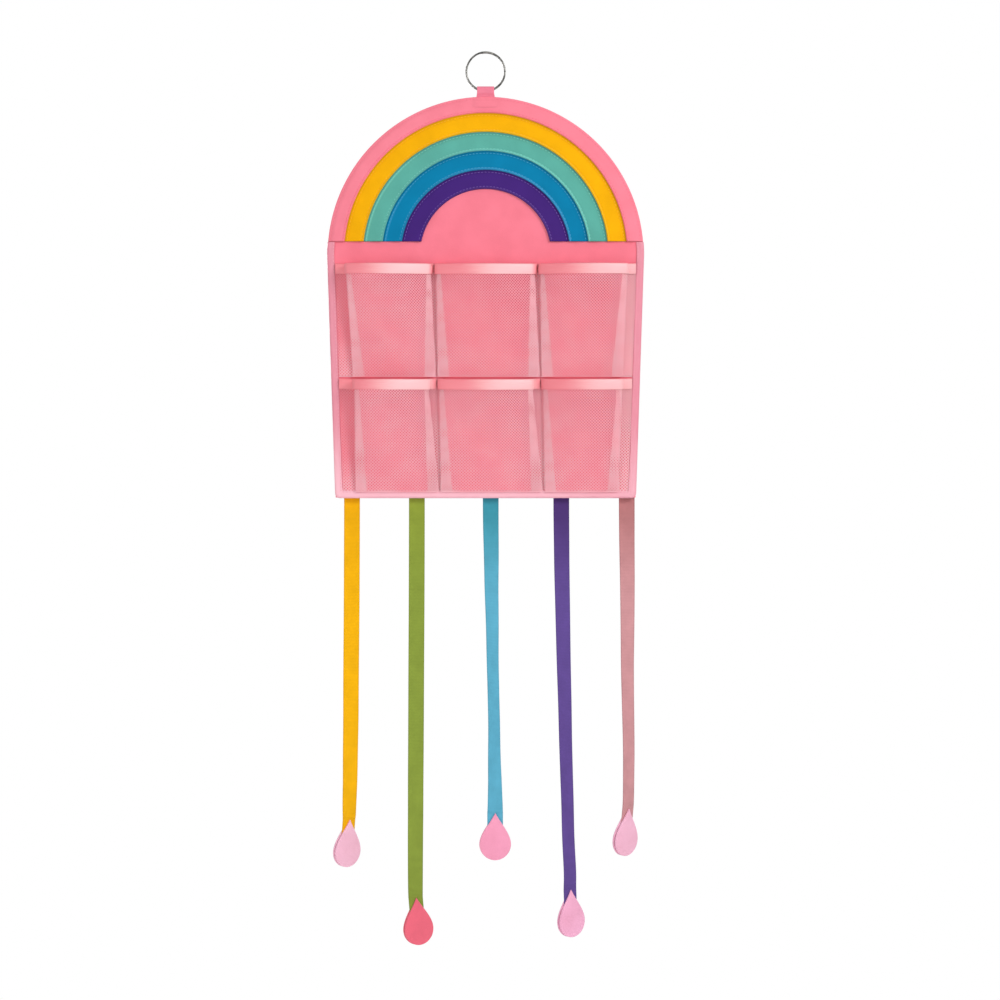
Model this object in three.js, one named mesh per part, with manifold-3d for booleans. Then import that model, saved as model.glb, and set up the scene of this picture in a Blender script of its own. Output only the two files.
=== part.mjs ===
// Hanging hair accessory organizer: a stiffened fabric panel with a rainbow arch, hung from a split ring
// by a folded loop. Two rows of pleated net pockets with satin mouths cover its lower half, and five
// ribbons with felt drops hang from its bottom edge, where hair clips are clipped on.
// Millimetres, +Z up, +X to the right of someone facing it, front towards -Y. The origin is the inside
// top of the ring, the point that hangs on a hook.

import * as THREE from 'three';
import * as BufferGeometryUtils from 'three/addons/utils/BufferGeometryUtils.js';
import Module from 'manifold-3d';

const wasm = await Module();
wasm.setup();

// Split ring
const RING_DIAMETER = 32; // outside
const RING_WIRE = 1.5;
const RING_TURN_GAP = 0.5; // between its two turns
const RING_JOG_AT = 135; // degrees from +X, where the wire crosses from turn to turn
const RING_JOG_SPAN = 60; // degrees
const RING_STEPS = 80;
const WIRE_SIDES = 8;

// Hanging loop
const LOOP_WIDTH = 13.5;
const LOOP_PLY = 0.8;
const LOOP_RISE = 8.2; // what shows above the arch
const LOOP_TUCK = 8.5; // sewn-in length
const LOOP_NECK = 1; // where its two plies meet, above the arch
const LOOP_STEPS = 6;
const WIRE_CLEARANCE = 0.3;

// Panel
const ARCH_RADIUS = 125;
const PANEL_HEIGHT = 317.2; // cut height of the sheets
const BOTTOM_WIDTH = 237.2; // cut width of the sheets at the bottom
const CORNER_RADIUS = 3.2;
const INSIDE_CORNER = 0.8; // least radius of the stiffener's and the tape's inside corners
const CORNER_STEPS = 5;
const SHEET = 1; // thickness of the front and back sheets
const BOARD = 1.6; // thickness of the stiffener
const SEW_GAP = 0.2; // between sewn layers
const SEAM_MARGIN = 1.3; // from the sewn-in loop to the stiffener
const ARC_STEPS = 26;

// Rainbow bands, from the outside in
const CUT_RISE = 10.3; // bands end this far above the centre of the arch
const EDGE_BAND_WIDTH = 13.2;
const BAND_WIDTH = 14.6;
const BAND_GAP = 0.4;
const BAND = 1.2; // thickness
const BAND_ROUND = 0.3;
const BAND_COLORS = {
  pink: 0xff8799,
  yellow: 0xf8b206,
  teal: 0x5eafa1,
  blue: 0x067fac,
  purple: 0x452679,
};

// Satin tape folded round the sides and bottom of the panel
const TAPE = 0.7;
const TAPE_FLANGE = 5.5;
const TAPE_TOP_GAP = 0.3; // below the ends of the bands

// Pockets
const ROWS = ['upper', 'lower'];
const COLUMNS = ['left', 'middle', 'right'];
const FIRST_MOUTH = 132; // from the top of the arch down to the upper mouths
const POCKET_HEIGHT = 88;
const ROW_GAP = 3;
const MIDDLE_POCKET_WIDTH = 82;
const MIDDLE_POCKET_SHIFT = 0.2; // of its middle right of centre, at the upper mouth
const DIVIDER_LEAN = 0.026; // further right for each millimetre down
const DIVIDER_GAP = 0.8; // between neighbouring pockets
const POCKET_CLEARANCE = 0.4; // from the edge tape to the outer pockets
const SIDE_DEPTH = 11; // of the mouth beside the edge tape
const DIVIDER_DEPTH = 6; // of the mouth beside a divider
const MOUTH_BOW = 9; // extra reach in the middle of the mouth
const NET = 0.6;
const FOLD_STEP = 1; // from layer to layer in a closed pleat
const OPEN_FOLD = 2; // width of the same fold under the mouth tape
const SIDE_GUSSET = 9; // pleat edge to seam beside the edge tape
const DIVIDER_GUSSET = 1.8; // pleat edge to seam beside a divider
const MOUTH_SPREAD = [1, 5]; // how far the mouths of each row draw in from the divider on their right
const PLEAT_OVERLAP = 9; // net folded under each pleat at the bottom
const OPEN_OVERLAP = 3.5; // what is left of it under the mouth tape
const FOLD_DEPTH_SHARE = 0.3; // how far forward of the seam the opened pleat's fold lies
const EDGE_DEPTH_SHARE = 0.7; // how far forward of the seam the pleat edge starts
const SEAM_FLAT = 1.2; // net lying flat beside its seam
const FRONT_STEPS = 8;
const POCKET_LEVELS = 7;
const MOUTH_TAPE = 0.5;
const MOUTH_TAPE_HEIGHT = 8.4;

// Ribbons and the felt drops round their ends
const RIBBON_WIDTH = 12.5;
const RIBBON = 0.5; // thickness
const RIBBON_TUCK = 10; // sewn to the back of the tape
const RIBBON_IN_DROP = 16;
const RIBBON_CURVE = 10; // straight pull above each drop
const RIBBON_STEPS = 22;
const DROP_WIDTH = 25;
const DROP_LENGTH = 37.5;
const DROP = 1.6; // thickness of one felt layer
const DROP_ROUND = 0.35;
const DROP_STEPS = 8;

// Lengths from the hem to the tips of the drops
const YELLOW_LENGTH = 254.7;
const GREEN_LENGTH = 316.5;
const BLUE_LENGTH = 249.2;
const PURPLE_LENGTH = 310.2;
const ROSE_LENGTH = 245.9;

// Each ribbon sits a share of the way from the middle of the hem to its corner, and its tip has drifted
// sideways by a share of the ribbon's width. In degrees: the drop's lean, the ribbon's twist halfway down,
// and how far the drop's face is turned.
const RIBBONS = {
  yellow: { at: -0.894, drift: -0.19, length: YELLOW_LENGTH, lean: 4, twist: -6, face: 42 },
  green: { at: -0.46, drift: -0.08, length: GREEN_LENGTH, lean: -5, twist: -3, face: 28 },
  blue: { at: 0.034, drift: 0.28, length: BLUE_LENGTH, lean: 0, twist: 40, face: 8 },
  purple: { at: 0.506, drift: 0.55, length: PURPLE_LENGTH, lean: -2, twist: 16, face: 36 },
  rose: { at: 0.944, drift: 0.07, length: ROSE_LENGTH, lean: 5, twist: 14, face: 43 },
};
const RIBBON_COLORS = {
  yellow: 0xf4b509,
  green: 0x819337,
  blue: 0x5cafc9,
  purple: 0x5d478d,
  rose: 0xd0969a,
};
const DROP_COLORS = {
  yellow: 0xfcbad0,
  green: 0xed697d,
  blue: 0xfa9db9,
  purple: 0xfcafcd,
  rose: 0xfcb7d0,
};

const PINK = 0xfe8294;
const TAPE_PINK = 0xf9bcc4;
const NET_PINK = 0xf4909e;
const LOOP_PINK = 0xed8399;
const BOARD_GREY = 0xd8d4cc;
const STEEL = 0xbababa;

const DEG = Math.PI / 180;
const UP = new THREE.Vector3(0, 0, 1);
const ACROSS = new THREE.Vector3(1, 0, 0);

const lerp = THREE.MathUtils.lerp;

// Heights, from the ring down
const ringRadius = (RING_DIAMETER - RING_WIRE) / 2;
const ringCentreZ = RING_WIRE - RING_DIAMETER / 2;
const turnOffset = (RING_WIRE + RING_TURN_GAP) / 2;
const seatZ = ringCentreZ - Math.sqrt(ringRadius ** 2 - (LOOP_WIDTH / 2) ** 2); // wire at the loop's edges
const eyeRadius = RING_WIRE / 2 + WIRE_CLEARANCE;
const loopTopZ = seatZ + eyeRadius + LOOP_PLY;
const archTopZ = loopTopZ - LOOP_RISE;
const archCentreZ = archTopZ - ARCH_RADIUS;
const cutZ = archCentreZ + CUT_RISE;
const bottomZ = archTopZ - PANEL_HEIGHT;

// Depths, from the middle of the panel outwards
const sheetInner = BOARD / 2 + SEW_GAP;
const sheetOuter = sheetInner + SHEET;
const tapeInner = sheetOuter + SEW_GAP;
const tapeOuter = tapeInner + TAPE;

const finish = (color, roughness, metalness = 0) => new THREE.MeshStandardMaterial({
  color,
  roughness,
  metalness,
});
const fabric = (color) => finish(color, 0.85);
const satin = (color) => finish(color, 0.4);
const felt = (color) => finish(color, 0.95);
const steel = () => finish(STEEL, 0.25, 1);

function part(name, geometry, material) {
  const mesh = new THREE.Mesh(geometry, material);
  mesh.name = name;
  return mesh;
}

// A flat piece cut to an outline in X and Z, from backY forward, with its edges rounded off if asked
function plate(outline, backY, thickness, round = 0, curveSegments = ARC_STEPS) {
  const geometry = new THREE.ExtrudeGeometry(outline, {
    depth: thickness - 2 * round,
    bevelEnabled: round > 0,
    bevelThickness: round,
    bevelSize: round,
    bevelOffset: -round,
    bevelSegments: 1,
    curveSegments,
  });
  geometry.translate(0, 0, round);
  geometry.rotateX(Math.PI / 2);
  geometry.translate(0, backY, 0);
  return geometry;
}

// Triangles that fill an outline, turning the way that the outline runs
function fillOutline(outline) {
  const faces = THREE.ShapeUtils.triangulateShape(outline, []);
  return THREE.ShapeUtils.isClockWise(outline) ? faces.map(([a, b, c]) => [a, c, b]) : faces;
}

// A closed skin over a row of rings of points. The two outlines give the flat shapes that close its ends.
function loft(rings, startOutline, endOutline = startOutline) {
  const count = rings[0].length;
  const positions = rings.flat().flatMap((point) => [point.x, point.y, point.z]);
  const faces = [];
  for (let r = 0; r + 1 < rings.length; r++) {
    for (let i = 0; i < count; i++) {
      const a = r * count + i;
      const b = r * count + ((i + 1) % count);
      faces.push([a, b, b + count], [a, b + count, a + count]);
    }
  }
  const last = (rings.length - 1) * count;
  faces.push(...fillOutline(startOutline).map(([a, b, c]) => [a, c, b]));
  faces.push(...fillOutline(endOutline).map((face) => face.map((corner) => last + corner)));
  const at = (i) => rings[Math.floor(i / count)][i % count];
  const volume = faces.reduce((sum, [a, b, c]) => sum + at(a).dot(at(b).clone().cross(at(c))), 0);
  const outward = volume > 0 ? faces : faces.map(([a, b, c]) => [a, c, b]);
  const geometry = new THREE.BufferGeometry();
  geometry.setAttribute('position', new THREE.Float32BufferAttribute(positions, 3));
  geometry.setIndex(outward.flat());
  geometry.computeVertexNormals();
  return geometry;
}

function solidOf(geometry) {
  const bare = geometry.clone();
  bare.deleteAttribute('normal');
  bare.deleteAttribute('uv');
  const merged = BufferGeometryUtils.mergeVertices(bare, 1e-4);
  const vertProperties = merged.attributes.position.array;
  const triVerts = new Uint32Array(merged.index.array);
  return new wasm.Manifold(new wasm.Mesh({ numProp: 3, vertProperties, triVerts }));
}

function geometryOf(solid) {
  const { vertProperties, triVerts } = solid.getMesh();
  const geometry = new THREE.BufferGeometry();
  geometry.setAttribute('position', new THREE.BufferAttribute(vertProperties, 3));
  geometry.setIndex(new THREE.BufferAttribute(triVerts, 1));
  geometry.computeVertexNormals();
  return geometry;
}

// Split ring: one wire in two flat turns. Each turn is open over the jog, where the wire crosses over.
function splitRing() {
  const jog = RING_JOG_SPAN * DEG;
  const start = RING_JOG_AT * DEG + jog / 2;
  const sweep = 4 * Math.PI - jog;
  const crossing = 2 * Math.PI - jog;
  const centres = [];
  const rings = [];
  for (let i = 0; i <= RING_STEPS; i++) {
    const turned = (sweep * i) / RING_STEPS;
    const angle = start + turned;
    const side = THREE.MathUtils.smoothstep(turned, crossing, crossing + jog);
    const out = new THREE.Vector3(Math.cos(angle), 0, Math.sin(angle));
    const centre = out.clone().multiplyScalar(ringRadius);
    centre.add(new THREE.Vector3(0, lerp(-turnOffset, turnOffset, side), ringCentreZ));
    centres.push(centre);
    rings.push(Array.from({ length: WIRE_SIDES }, (_, k) => {
      const around = (2 * Math.PI * k) / WIRE_SIDES;
      const point = centre.clone().addScaledVector(out, (RING_WIRE / 2) * Math.cos(around));
      point.y += (RING_WIRE / 2) * Math.sin(around);
      return point;
    }));
  }
  let leastGap = Infinity;
  const apart = Math.ceil(RING_STEPS / 8);
  for (let i = 0; i < centres.length; i++) {
    for (let j = i + apart; j < centres.length; j++) {
      leastGap = Math.min(leastGap, centres[i].distanceTo(centres[j]) - RING_WIRE);
    }
  }
  console.log(`split ring: least gap between its turns ${leastGap.toFixed(2)} mm`);
  const cap = rings[0].map((_, k) => {
    const around = (2 * Math.PI * k) / WIRE_SIDES;
    return new THREE.Vector2(Math.cos(around), Math.sin(around));
  });
  return loft(rings, cap);
}

// Hanging loop: a strip folded over both turns of the ring, its two ends lying together inside the panel
function hangingLoop() {
  const eyeBottomZ = ringCentreZ - RING_DIAMETER / 2 - WIRE_CLEARANCE;
  const neckZ = archTopZ + LOOP_NECK;
  const outline = new THREE.Shape();
  outline.moveTo(-LOOP_PLY, archTopZ - LOOP_TUCK);
  outline.lineTo(LOOP_PLY, archTopZ - LOOP_TUCK);
  outline.lineTo(LOOP_PLY, neckZ);
  outline.lineTo(turnOffset + eyeRadius + LOOP_PLY, eyeBottomZ);
  outline.absarc(turnOffset, seatZ, eyeRadius + LOOP_PLY, 0, Math.PI / 2, false);
  outline.absarc(-turnOffset, seatZ, eyeRadius + LOOP_PLY, Math.PI / 2, Math.PI, false);
  outline.lineTo(-turnOffset - eyeRadius - LOOP_PLY, eyeBottomZ);
  outline.lineTo(-LOOP_PLY, neckZ);
  const eye = new THREE.Path();
  eye.moveTo(0, neckZ);
  eye.lineTo(turnOffset + eyeRadius, eyeBottomZ);
  eye.absarc(turnOffset, seatZ, eyeRadius, 0, Math.PI / 2, false);
  eye.absarc(-turnOffset, seatZ, eyeRadius, Math.PI / 2, Math.PI, false);
  eye.lineTo(-turnOffset - eyeRadius, eyeBottomZ);
  outline.holes.push(eye);
  const geometry = new THREE.ExtrudeGeometry(outline, {
    depth: LOOP_WIDTH,
    bevelEnabled: false,
    curveSegments: LOOP_STEPS,
  });
  geometry.translate(0, 0, -LOOP_WIDTH / 2);
  const profileToPlace = new THREE.Matrix4().makeBasis(new THREE.Vector3(0, 1, 0), UP, ACROSS);
  return geometry.applyMatrix4(profileToPlace);
}

// Half the panel's width at a height below the centre of the arch
function panelHalfWidth(z) {
  return lerp(ARCH_RADIUS, BOTTOM_WIDTH / 2, (archCentreZ - z) / (archCentreZ - bottomZ));
}

// Outline of the panel in X and Z: an arch on sides that taper to rounded bottom corners, grown by reach
function panelOutline(reach) {
  const arch = ARCH_RADIUS + reach;
  const half = BOTTOM_WIDTH / 2 + reach;
  const bottom = bottomZ - reach;
  const corner = Math.max(CORNER_RADIUS + reach, INSIDE_CORNER);
  const right = [];
  for (let i = 0; i <= CORNER_STEPS; i++) {
    const turned = (-Math.PI / 2) * (1 - i / CORNER_STEPS);
    const x = half - corner + corner * Math.cos(turned);
    const z = bottom + corner + corner * Math.sin(turned);
    right.push(new THREE.Vector2(x, z));
  }
  const outline = new THREE.Shape(right);
  outline.absarc(0, archCentreZ, arch, 0, Math.PI, false);
  right.reverse().forEach(({ x, y }) => outline.lineTo(-x, y));
  return outline;
}

// Edge tape: folded round both faces of the panel down one side, along the bottom and up the other side
function edgeTape() {
  const whole = solidOf(plate(panelOutline(SEW_GAP + TAPE), tapeOuter, 2 * tapeOuter));
  const channel = solidOf(plate(panelOutline(SEW_GAP), tapeInner, 2 * tapeInner));
  const window = solidOf(plate(panelOutline(-TAPE_FLANGE), 2 * tapeOuter, 4 * tapeOuter));
  const above = new THREE.BoxGeometry(3 * ARCH_RADIUS, 4 * tapeOuter, 2 * ARCH_RADIUS);
  above.translate(0, 0, cutZ - TAPE_TOP_GAP + ARCH_RADIUS);
  return geometryOf(whole.subtract(channel).subtract(window).subtract(solidOf(above)));
}

// One rainbow band: an arched strip with its ends cut level
function archBand(outer, inner) {
  const outerAngle = Math.asin(CUT_RISE / outer);
  const innerAngle = Math.asin(CUT_RISE / inner);
  const outline = new THREE.Shape();
  outline.absarc(0, archCentreZ, outer, outerAngle, Math.PI - outerAngle, false);
  outline.absarc(0, archCentreZ, inner, Math.PI - innerAngle, innerAngle, true);
  return plate(outline, -sheetOuter - SEW_GAP, BAND, BAND_ROUND);
}

function rainbow() {
  const group = new THREE.Group();
  let outer = ARCH_RADIUS;
  for (const [name, color] of Object.entries(BAND_COLORS)) {
    const width = name === 'pink' ? EDGE_BAND_WIDTH : BAND_WIDTH;
    group.add(part(`band_${name}`, archBand(outer, outer - width), fabric(color)));
    outer -= width + BAND_GAP;
  }
  return group;
}

// Where one pocket is sewn: its mouth and bottom, its two side seams at any height, and their pleats
function pocketSeams(row, column) {
  const mouthZ = archTopZ - FIRST_MOUTH - row * (POCKET_HEIGHT + ROW_GAP);
  const edge = (z) => panelHalfWidth(z) - TAPE_FLANGE - POCKET_CLEARANCE;
  const middle = (z) => MIDDLE_POCKET_SHIFT + DIVIDER_LEAN * (archTopZ - FIRST_MOUTH - z);
  const divider = (side, z) => middle(z) + (side * MIDDLE_POCKET_WIDTH) / 2;
  const sidePleat = { gusset: SIDE_GUSSET, spread: 0, openDepth: SIDE_DEPTH };
  const dividerPleat = { gusset: DIVIDER_GUSSET, spread: 0, openDepth: DIVIDER_DEPTH };
  return {
    mouthZ,
    bottomZ: mouthZ - POCKET_HEIGHT,
    left: (z) => (column === 0 ? -edge(z) : divider(column === 1 ? -1 : 1, z) + DIVIDER_GAP / 2),
    right: (z) => (column === 2 ? edge(z) : divider(column === 0 ? -1 : 1, z) - DIVIDER_GAP / 2),
    leftPleat: column === 0 ? sidePleat : dividerPleat,
    rightPleat: column === 2 ? sidePleat : { ...dividerPleat, spread: MOUTH_SPREAD[row] },
  };
}

// Run of a pocket's net across the panel at height z. Each side folds under itself in a pleat that lies
// shut at the bottom and opens into a gusset under the mouth tape.
function netRun(seams, z) {
  const open = Math.min((z - seams.bottomZ) / (POCKET_HEIGHT - MOUTH_TAPE_HEIGHT), 1);
  const seamY = -lerp(sheetOuter + SEW_GAP + NET / 2, tapeInner + NET / 2 + SEW_GAP + MOUTH_TAPE, open);
  const foldStep = lerp(FOLD_STEP, OPEN_FOLD, open);
  const pleat = (seamX, { gusset, spread, openDepth }, side) => {
    const depth = lerp(2 * FOLD_STEP, openDepth, open);
    const slack = depth - 2 * foldStep;
    const foldY = seamY - FOLD_DEPTH_SHARE * slack;
    const edgeY = seamY - EDGE_DEPTH_SHARE * slack - foldStep;
    const edgeX = seamX + side * (gusset + spread * open);
    const foldX = edgeX + side * lerp(PLEAT_OVERLAP, OPEN_OVERLAP, open);
    return [
      new THREE.Vector2(seamX, seamY),
      new THREE.Vector2(seamX + side * SEAM_FLAT, seamY),
      new THREE.Vector2(foldX, foldY),
      new THREE.Vector2(foldX, foldY - foldStep),
      new THREE.Vector2(edgeX, edgeY),
      new THREE.Vector2(edgeX, seamY - depth),
    ];
  };
  const left = pleat(seams.left(z), seams.leftPleat, 1);
  const right = pleat(seams.right(z), seams.rightPleat, -1).reverse();
  const front = [];
  for (let i = 1; i < FRONT_STEPS; i++) {
    const across = i / FRONT_STEPS;
    const straight = left.at(-1).clone().lerp(right[0], across);
    const bow = MOUTH_BOW * open * 4 * across * (1 - across);
    front.push(new THREE.Vector2(straight.x, straight.y - bow));
  }
  return [...left, ...front, ...right];
}

// The run moved sideways by reach, mitred at its corners: positive reach is towards the panel
function besideRun(run, reach) {
  return run.map((point, i) => {
    const before = run[Math.max(i - 1, 0)];
    const after = run[Math.min(i + 1, run.length - 1)];
    const into = point.clone().sub(before).normalize();
    const out = after.clone().sub(point).normalize();
    const bisector = into.add(out).normalize();
    const edge = i === 0 ? out : point.clone().sub(before).normalize();
    const stretch = reach / bisector.dot(edge);
    return new THREE.Vector2(point.x - bisector.y * stretch, point.y + bisector.x * stretch);
  });
}

const lift = (points, z) => points.map((point) => new THREE.Vector3(point.x, point.y, z));

function pocketNet(seams) {
  const tapeZ = seams.mouthZ - MOUTH_TAPE_HEIGHT;
  const levels = [];
  for (let i = 0; i <= POCKET_LEVELS; i++) {
    levels.push(lerp(seams.bottomZ, tapeZ, i / POCKET_LEVELS));
  }
  levels.push(seams.mouthZ - MOUTH_TAPE - SEW_GAP);
  const sections = levels.map((z) => {
    const run = netRun(seams, z);
    return { z, outline: [...besideRun(run, -NET / 2), ...besideRun(run, NET / 2).reverse()] };
  });
  const rings = sections.map(({ z, outline }) => lift(outline, z));
  return loft(rings, sections[0].outline, sections.at(-1).outline);
}

// Satin tape folded over the net's top edge, following the mouth from seam to seam
function mouthTape(seams) {
  const inner = NET / 2 + SEW_GAP;
  const outer = inner + MOUTH_TAPE;
  const topZ = seams.mouthZ;
  const foldZ = topZ - MOUTH_TAPE;
  const lowZ = topZ - MOUTH_TAPE_HEIGHT;
  const profile = [
    [-outer, lowZ], [-outer, topZ], [outer, topZ], [outer, lowZ],
    [inner, lowZ], [inner, foldZ], [-inner, foldZ], [-inner, lowZ],
  ];
  const lines = profile.map(([reach, z]) => lift(besideRun(netRun(seams, z), reach), z));
  const rings = lines[0].map((_, i) => lines.map((line) => line[i]));
  return loft(rings, profile.map(([reach, z]) => new THREE.Vector2(reach, z)));
}

function pocket(row, column) {
  const seams = pocketSeams(row, column);
  const place = `${ROWS[row]}_${COLUMNS[column]}`;
  const group = new THREE.Group();
  group.add(part(`net_${place}`, pocketNet(seams), fabric(NET_PINK)));
  group.add(part(`mouth_tape_${place}`, mouthTape(seams), satin(TAPE_PINK)));
  return group;
}

// The way a ribbon or drop stands: up along it, across its width, and out of its face
function standing(up, face) {
  const level = ACROSS.clone().addScaledVector(up, -up.dot(ACROSS)).normalize();
  const across = level.applyAxisAngle(up, face * DEG);
  return { up, across, out: across.clone().cross(up) };
}

// Outline of a drop: from its tip down one side, round its end and back up the other side
function dropOutline() {
  const radius = DROP_WIDTH / 2;
  const centre = radius - DROP_LENGTH;
  const outline = new THREE.Shape();
  outline.moveTo(0, 0);
  outline.bezierCurveTo(-radius / 3, centre / 3, -radius, (2 * centre) / 3, -radius, centre);
  outline.absarc(0, centre, radius, Math.PI, 2 * Math.PI, false);
  outline.bezierCurveTo(radius, (2 * centre) / 3, radius / 3, centre / 3, 0, 0);
  return outline;
}

function strand(name) {
  const { at, drift, length, lean, twist, face } = RIBBONS[name];
  const backY = tapeOuter + SEW_GAP + RIBBON / 2;
  const hemZ = bottomZ - SEW_GAP - TAPE;
  const hem = new THREE.Vector3((at * BOTTOM_WIDTH) / 2, backY, hemZ);
  const tip = new THREE.Vector3(hem.x + drift * RIBBON_WIDTH, backY, hemZ - length);
  const dropUp = new THREE.Vector3(Math.sin(lean * DEG), 0, Math.cos(lean * DEG));
  const dropStands = standing(dropUp, face);
  const fall = new THREE.CubicBezierCurve3(
    hem,
    hem.clone().addScaledVector(UP, -length / 3),
    tip.clone().addScaledVector(dropUp, RIBBON_CURVE),
    tip,
  );
  const stations = [{ centre: hem.clone().addScaledVector(UP, RIBBON_TUCK), ...standing(UP.clone(), 0) }];
  for (let i = 0; i <= RIBBON_STEPS; i++) {
    const s = i / RIBBON_STEPS;
    const turn = twist * Math.sin(Math.PI * s) + face * s;
    stations.push({ centre: fall.getPoint(s), ...standing(fall.getTangent(s).negate(), turn) });
  }
  stations.push({ centre: tip.clone().addScaledVector(dropUp, -RIBBON_IN_DROP), ...dropStands });
  const corners = [[-1, -1], [1, -1], [1, 1], [-1, 1]];
  const rings = stations.map(({ centre, across, out }) => corners.map(([a, o]) => centre.clone()
    .addScaledVector(across, (a * RIBBON_WIDTH) / 2)
    .addScaledVector(out, (o * RIBBON) / 2)));
  const group = new THREE.Group();
  const cap = corners.map(([a, o]) => new THREE.Vector2(a, o));
  group.add(part(`ribbon_${name}`, loft(rings, cap), satin(RIBBON_COLORS[name])));

  const { up, across, out } = dropStands;
  const hanging = new THREE.Matrix4().makeBasis(across, out.clone().negate(), up).setPosition(tip);
  const layerGap = RIBBON / 2 + SEW_GAP;
  const layers = { front: -layerGap, back: layerGap + DROP };
  for (const [layer, backFace] of Object.entries(layers)) {
    const geometry = plate(dropOutline(), backFace, DROP, DROP_ROUND, DROP_STEPS).applyMatrix4(hanging);
    group.add(part(`drop_${name}_${layer}`, geometry, felt(DROP_COLORS[name])));
  }
  return group;
}

const frontSheet = plate(panelOutline(0), -sheetInner, SHEET);
const stiffener = plate(panelOutline(-LOOP_TUCK - SEAM_MARGIN), BOARD / 2, BOARD);
const backSheet = plate(panelOutline(0), sheetOuter, SHEET);

const organizer = new THREE.Group();
organizer.add(part('split_ring', splitRing(), steel()));
organizer.add(part('hanging_loop', hangingLoop(), fabric(LOOP_PINK)));
organizer.add(part('front_sheet', frontSheet, fabric(PINK)));
organizer.add(part('stiffener_board', stiffener, fabric(BOARD_GREY)));
organizer.add(part('back_sheet', backSheet, fabric(PINK)));
organizer.add(part('edge_tape', edgeTape(), satin(TAPE_PINK)));
organizer.add(rainbow());
ROWS.forEach((_, row) => COLUMNS.forEach((_, column) => organizer.add(pocket(row, column))));
Object.keys(RIBBONS).forEach((name) => organizer.add(strand(name)));

export default organizer;
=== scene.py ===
# %% [markdown]
# # Hanging hair accessory organizer
# A stiffened fabric panel hangs by a folded loop from a split ring. A rainbow of sewn bands covers its
# arched top, six pleated net pockets cover its lower half, and five ribbons with felt drops hang from
# its hem. The imported frame already holds every piece at its true size and place, so each step below
# dresses one of those pieces: it models the soft form and gives it a finish. Many of the pieces are
# also tied to the body that carries them.

# %% The imported frame
import math

import bmesh
import bpy
from mathutils import Matrix, Vector, noise


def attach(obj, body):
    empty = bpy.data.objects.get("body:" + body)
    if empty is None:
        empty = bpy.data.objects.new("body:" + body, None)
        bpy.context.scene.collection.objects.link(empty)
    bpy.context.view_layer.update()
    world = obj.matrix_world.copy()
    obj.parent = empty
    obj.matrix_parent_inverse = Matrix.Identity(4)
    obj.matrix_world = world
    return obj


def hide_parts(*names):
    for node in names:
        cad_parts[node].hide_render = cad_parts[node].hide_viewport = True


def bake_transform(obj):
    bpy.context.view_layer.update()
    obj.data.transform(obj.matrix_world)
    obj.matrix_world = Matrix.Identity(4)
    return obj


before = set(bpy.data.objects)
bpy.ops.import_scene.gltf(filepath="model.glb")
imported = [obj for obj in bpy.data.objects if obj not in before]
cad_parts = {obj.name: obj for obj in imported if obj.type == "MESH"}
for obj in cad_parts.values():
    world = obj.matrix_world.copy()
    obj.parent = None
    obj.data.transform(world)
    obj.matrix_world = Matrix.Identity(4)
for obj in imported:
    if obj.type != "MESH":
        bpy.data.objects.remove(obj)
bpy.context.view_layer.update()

# %% [markdown]
# ## Camera
# The picture was taken from straight in front with a long lens. One pixel of a 1000 pixel picture is
# 0.792 mm at the panel, and the picture's centre lies just below the hem. A lens of 85 mm on a 36 mm
# sensor then gives the distance.

# %% Camera
VIEW_WIDTH = 0.792
CENTRE_X, CENTRE_Z = 0.0114, -0.3537
LENS = 85
SENSOR = 36
camera = bpy.data.cameras.new("front_camera")
camera.lens = LENS
camera.sensor_width = SENSOR
camera_object = bpy.data.objects.new("front_camera", camera)
camera_object.location = (CENTRE_X, -VIEW_WIDTH * LENS / SENSOR, CENTRE_Z)
camera_object.rotation_euler = (math.pi / 2, 0, 0)
bpy.context.collection.objects.link(camera_object)
bpy.context.scene.camera = camera_object
bpy.context.scene.view_settings.view_transform = "Standard"
print("camera distance", round(-camera_object.location.y, 3))

# %% [markdown]
# ## Finishes
# Every finish is one Principled shader with a few nodes in front of it. Writing node maths as Python
# keeps it readable: a Value wraps one socket, and its operators add Math nodes. A Finish owns the
# material, and its add method makes any other node from a type, its settings and its inputs.

# %% Values and finishes
class Value:
    """One socket of a finish. Python's operators on it add Math nodes."""

    def __init__(self, finish, socket):
        self.finish = finish
        self.socket = socket

    def math(self, operation, first, second):
        return self.finish.add("ShaderNodeMath", {"operation": operation}, {0: first, 1: second})

    def __add__(self, other):
        return self.math("ADD", self, other)

    def __radd__(self, other):
        return self.math("ADD", other, self)

    def __sub__(self, other):
        return self.math("SUBTRACT", self, other)

    def __rsub__(self, other):
        return self.math("SUBTRACT", other, self)

    def __mul__(self, other):
        return self.math("MULTIPLY", self, other)

    def __rmul__(self, other):
        return self.math("MULTIPLY", other, self)


class Finish:
    """One material. Numbers that are the same all over go on the shader's own sockets."""

    def __init__(self, name, shader):
        self.material = bpy.data.materials.new(name)
        self.material.use_nodes = True
        self.tree = self.material.node_tree
        self.shader = self.tree.nodes["Principled BSDF"]
        for socket, value in shader.items():
            self.feed(socket, value)

    def plug(self, socket, value):
        if isinstance(value, Value):
            self.tree.links.new(value.socket, socket)
        else:
            socket.default_value = value

    def feed(self, socket, value):
        self.plug(self.shader.inputs[socket], value)

    def add(self, kind, settings, inputs, output=0):
        node = self.tree.nodes.new(kind)
        for name, value in settings.items():
            if name == "stops":
                ramp = node.color_ramp.elements
                while len(ramp) < len(value):
                    ramp.new(0.5)
                for stop, (position, color) in zip(ramp, value):
                    stop.position = position
                    stop.color = color
            else:
                setattr(node, name, value)
        for name, value in inputs.items():
            self.plug(node.inputs[name], value)
        return Value(self, node.outputs[output])


print("a finish adds its nodes with", Finish.add.__name__)

# %% Colours and patterns
HIGHLIGHT_GAIN, HIGHLIGHT_LIFT = 1.5, 0.06


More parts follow.
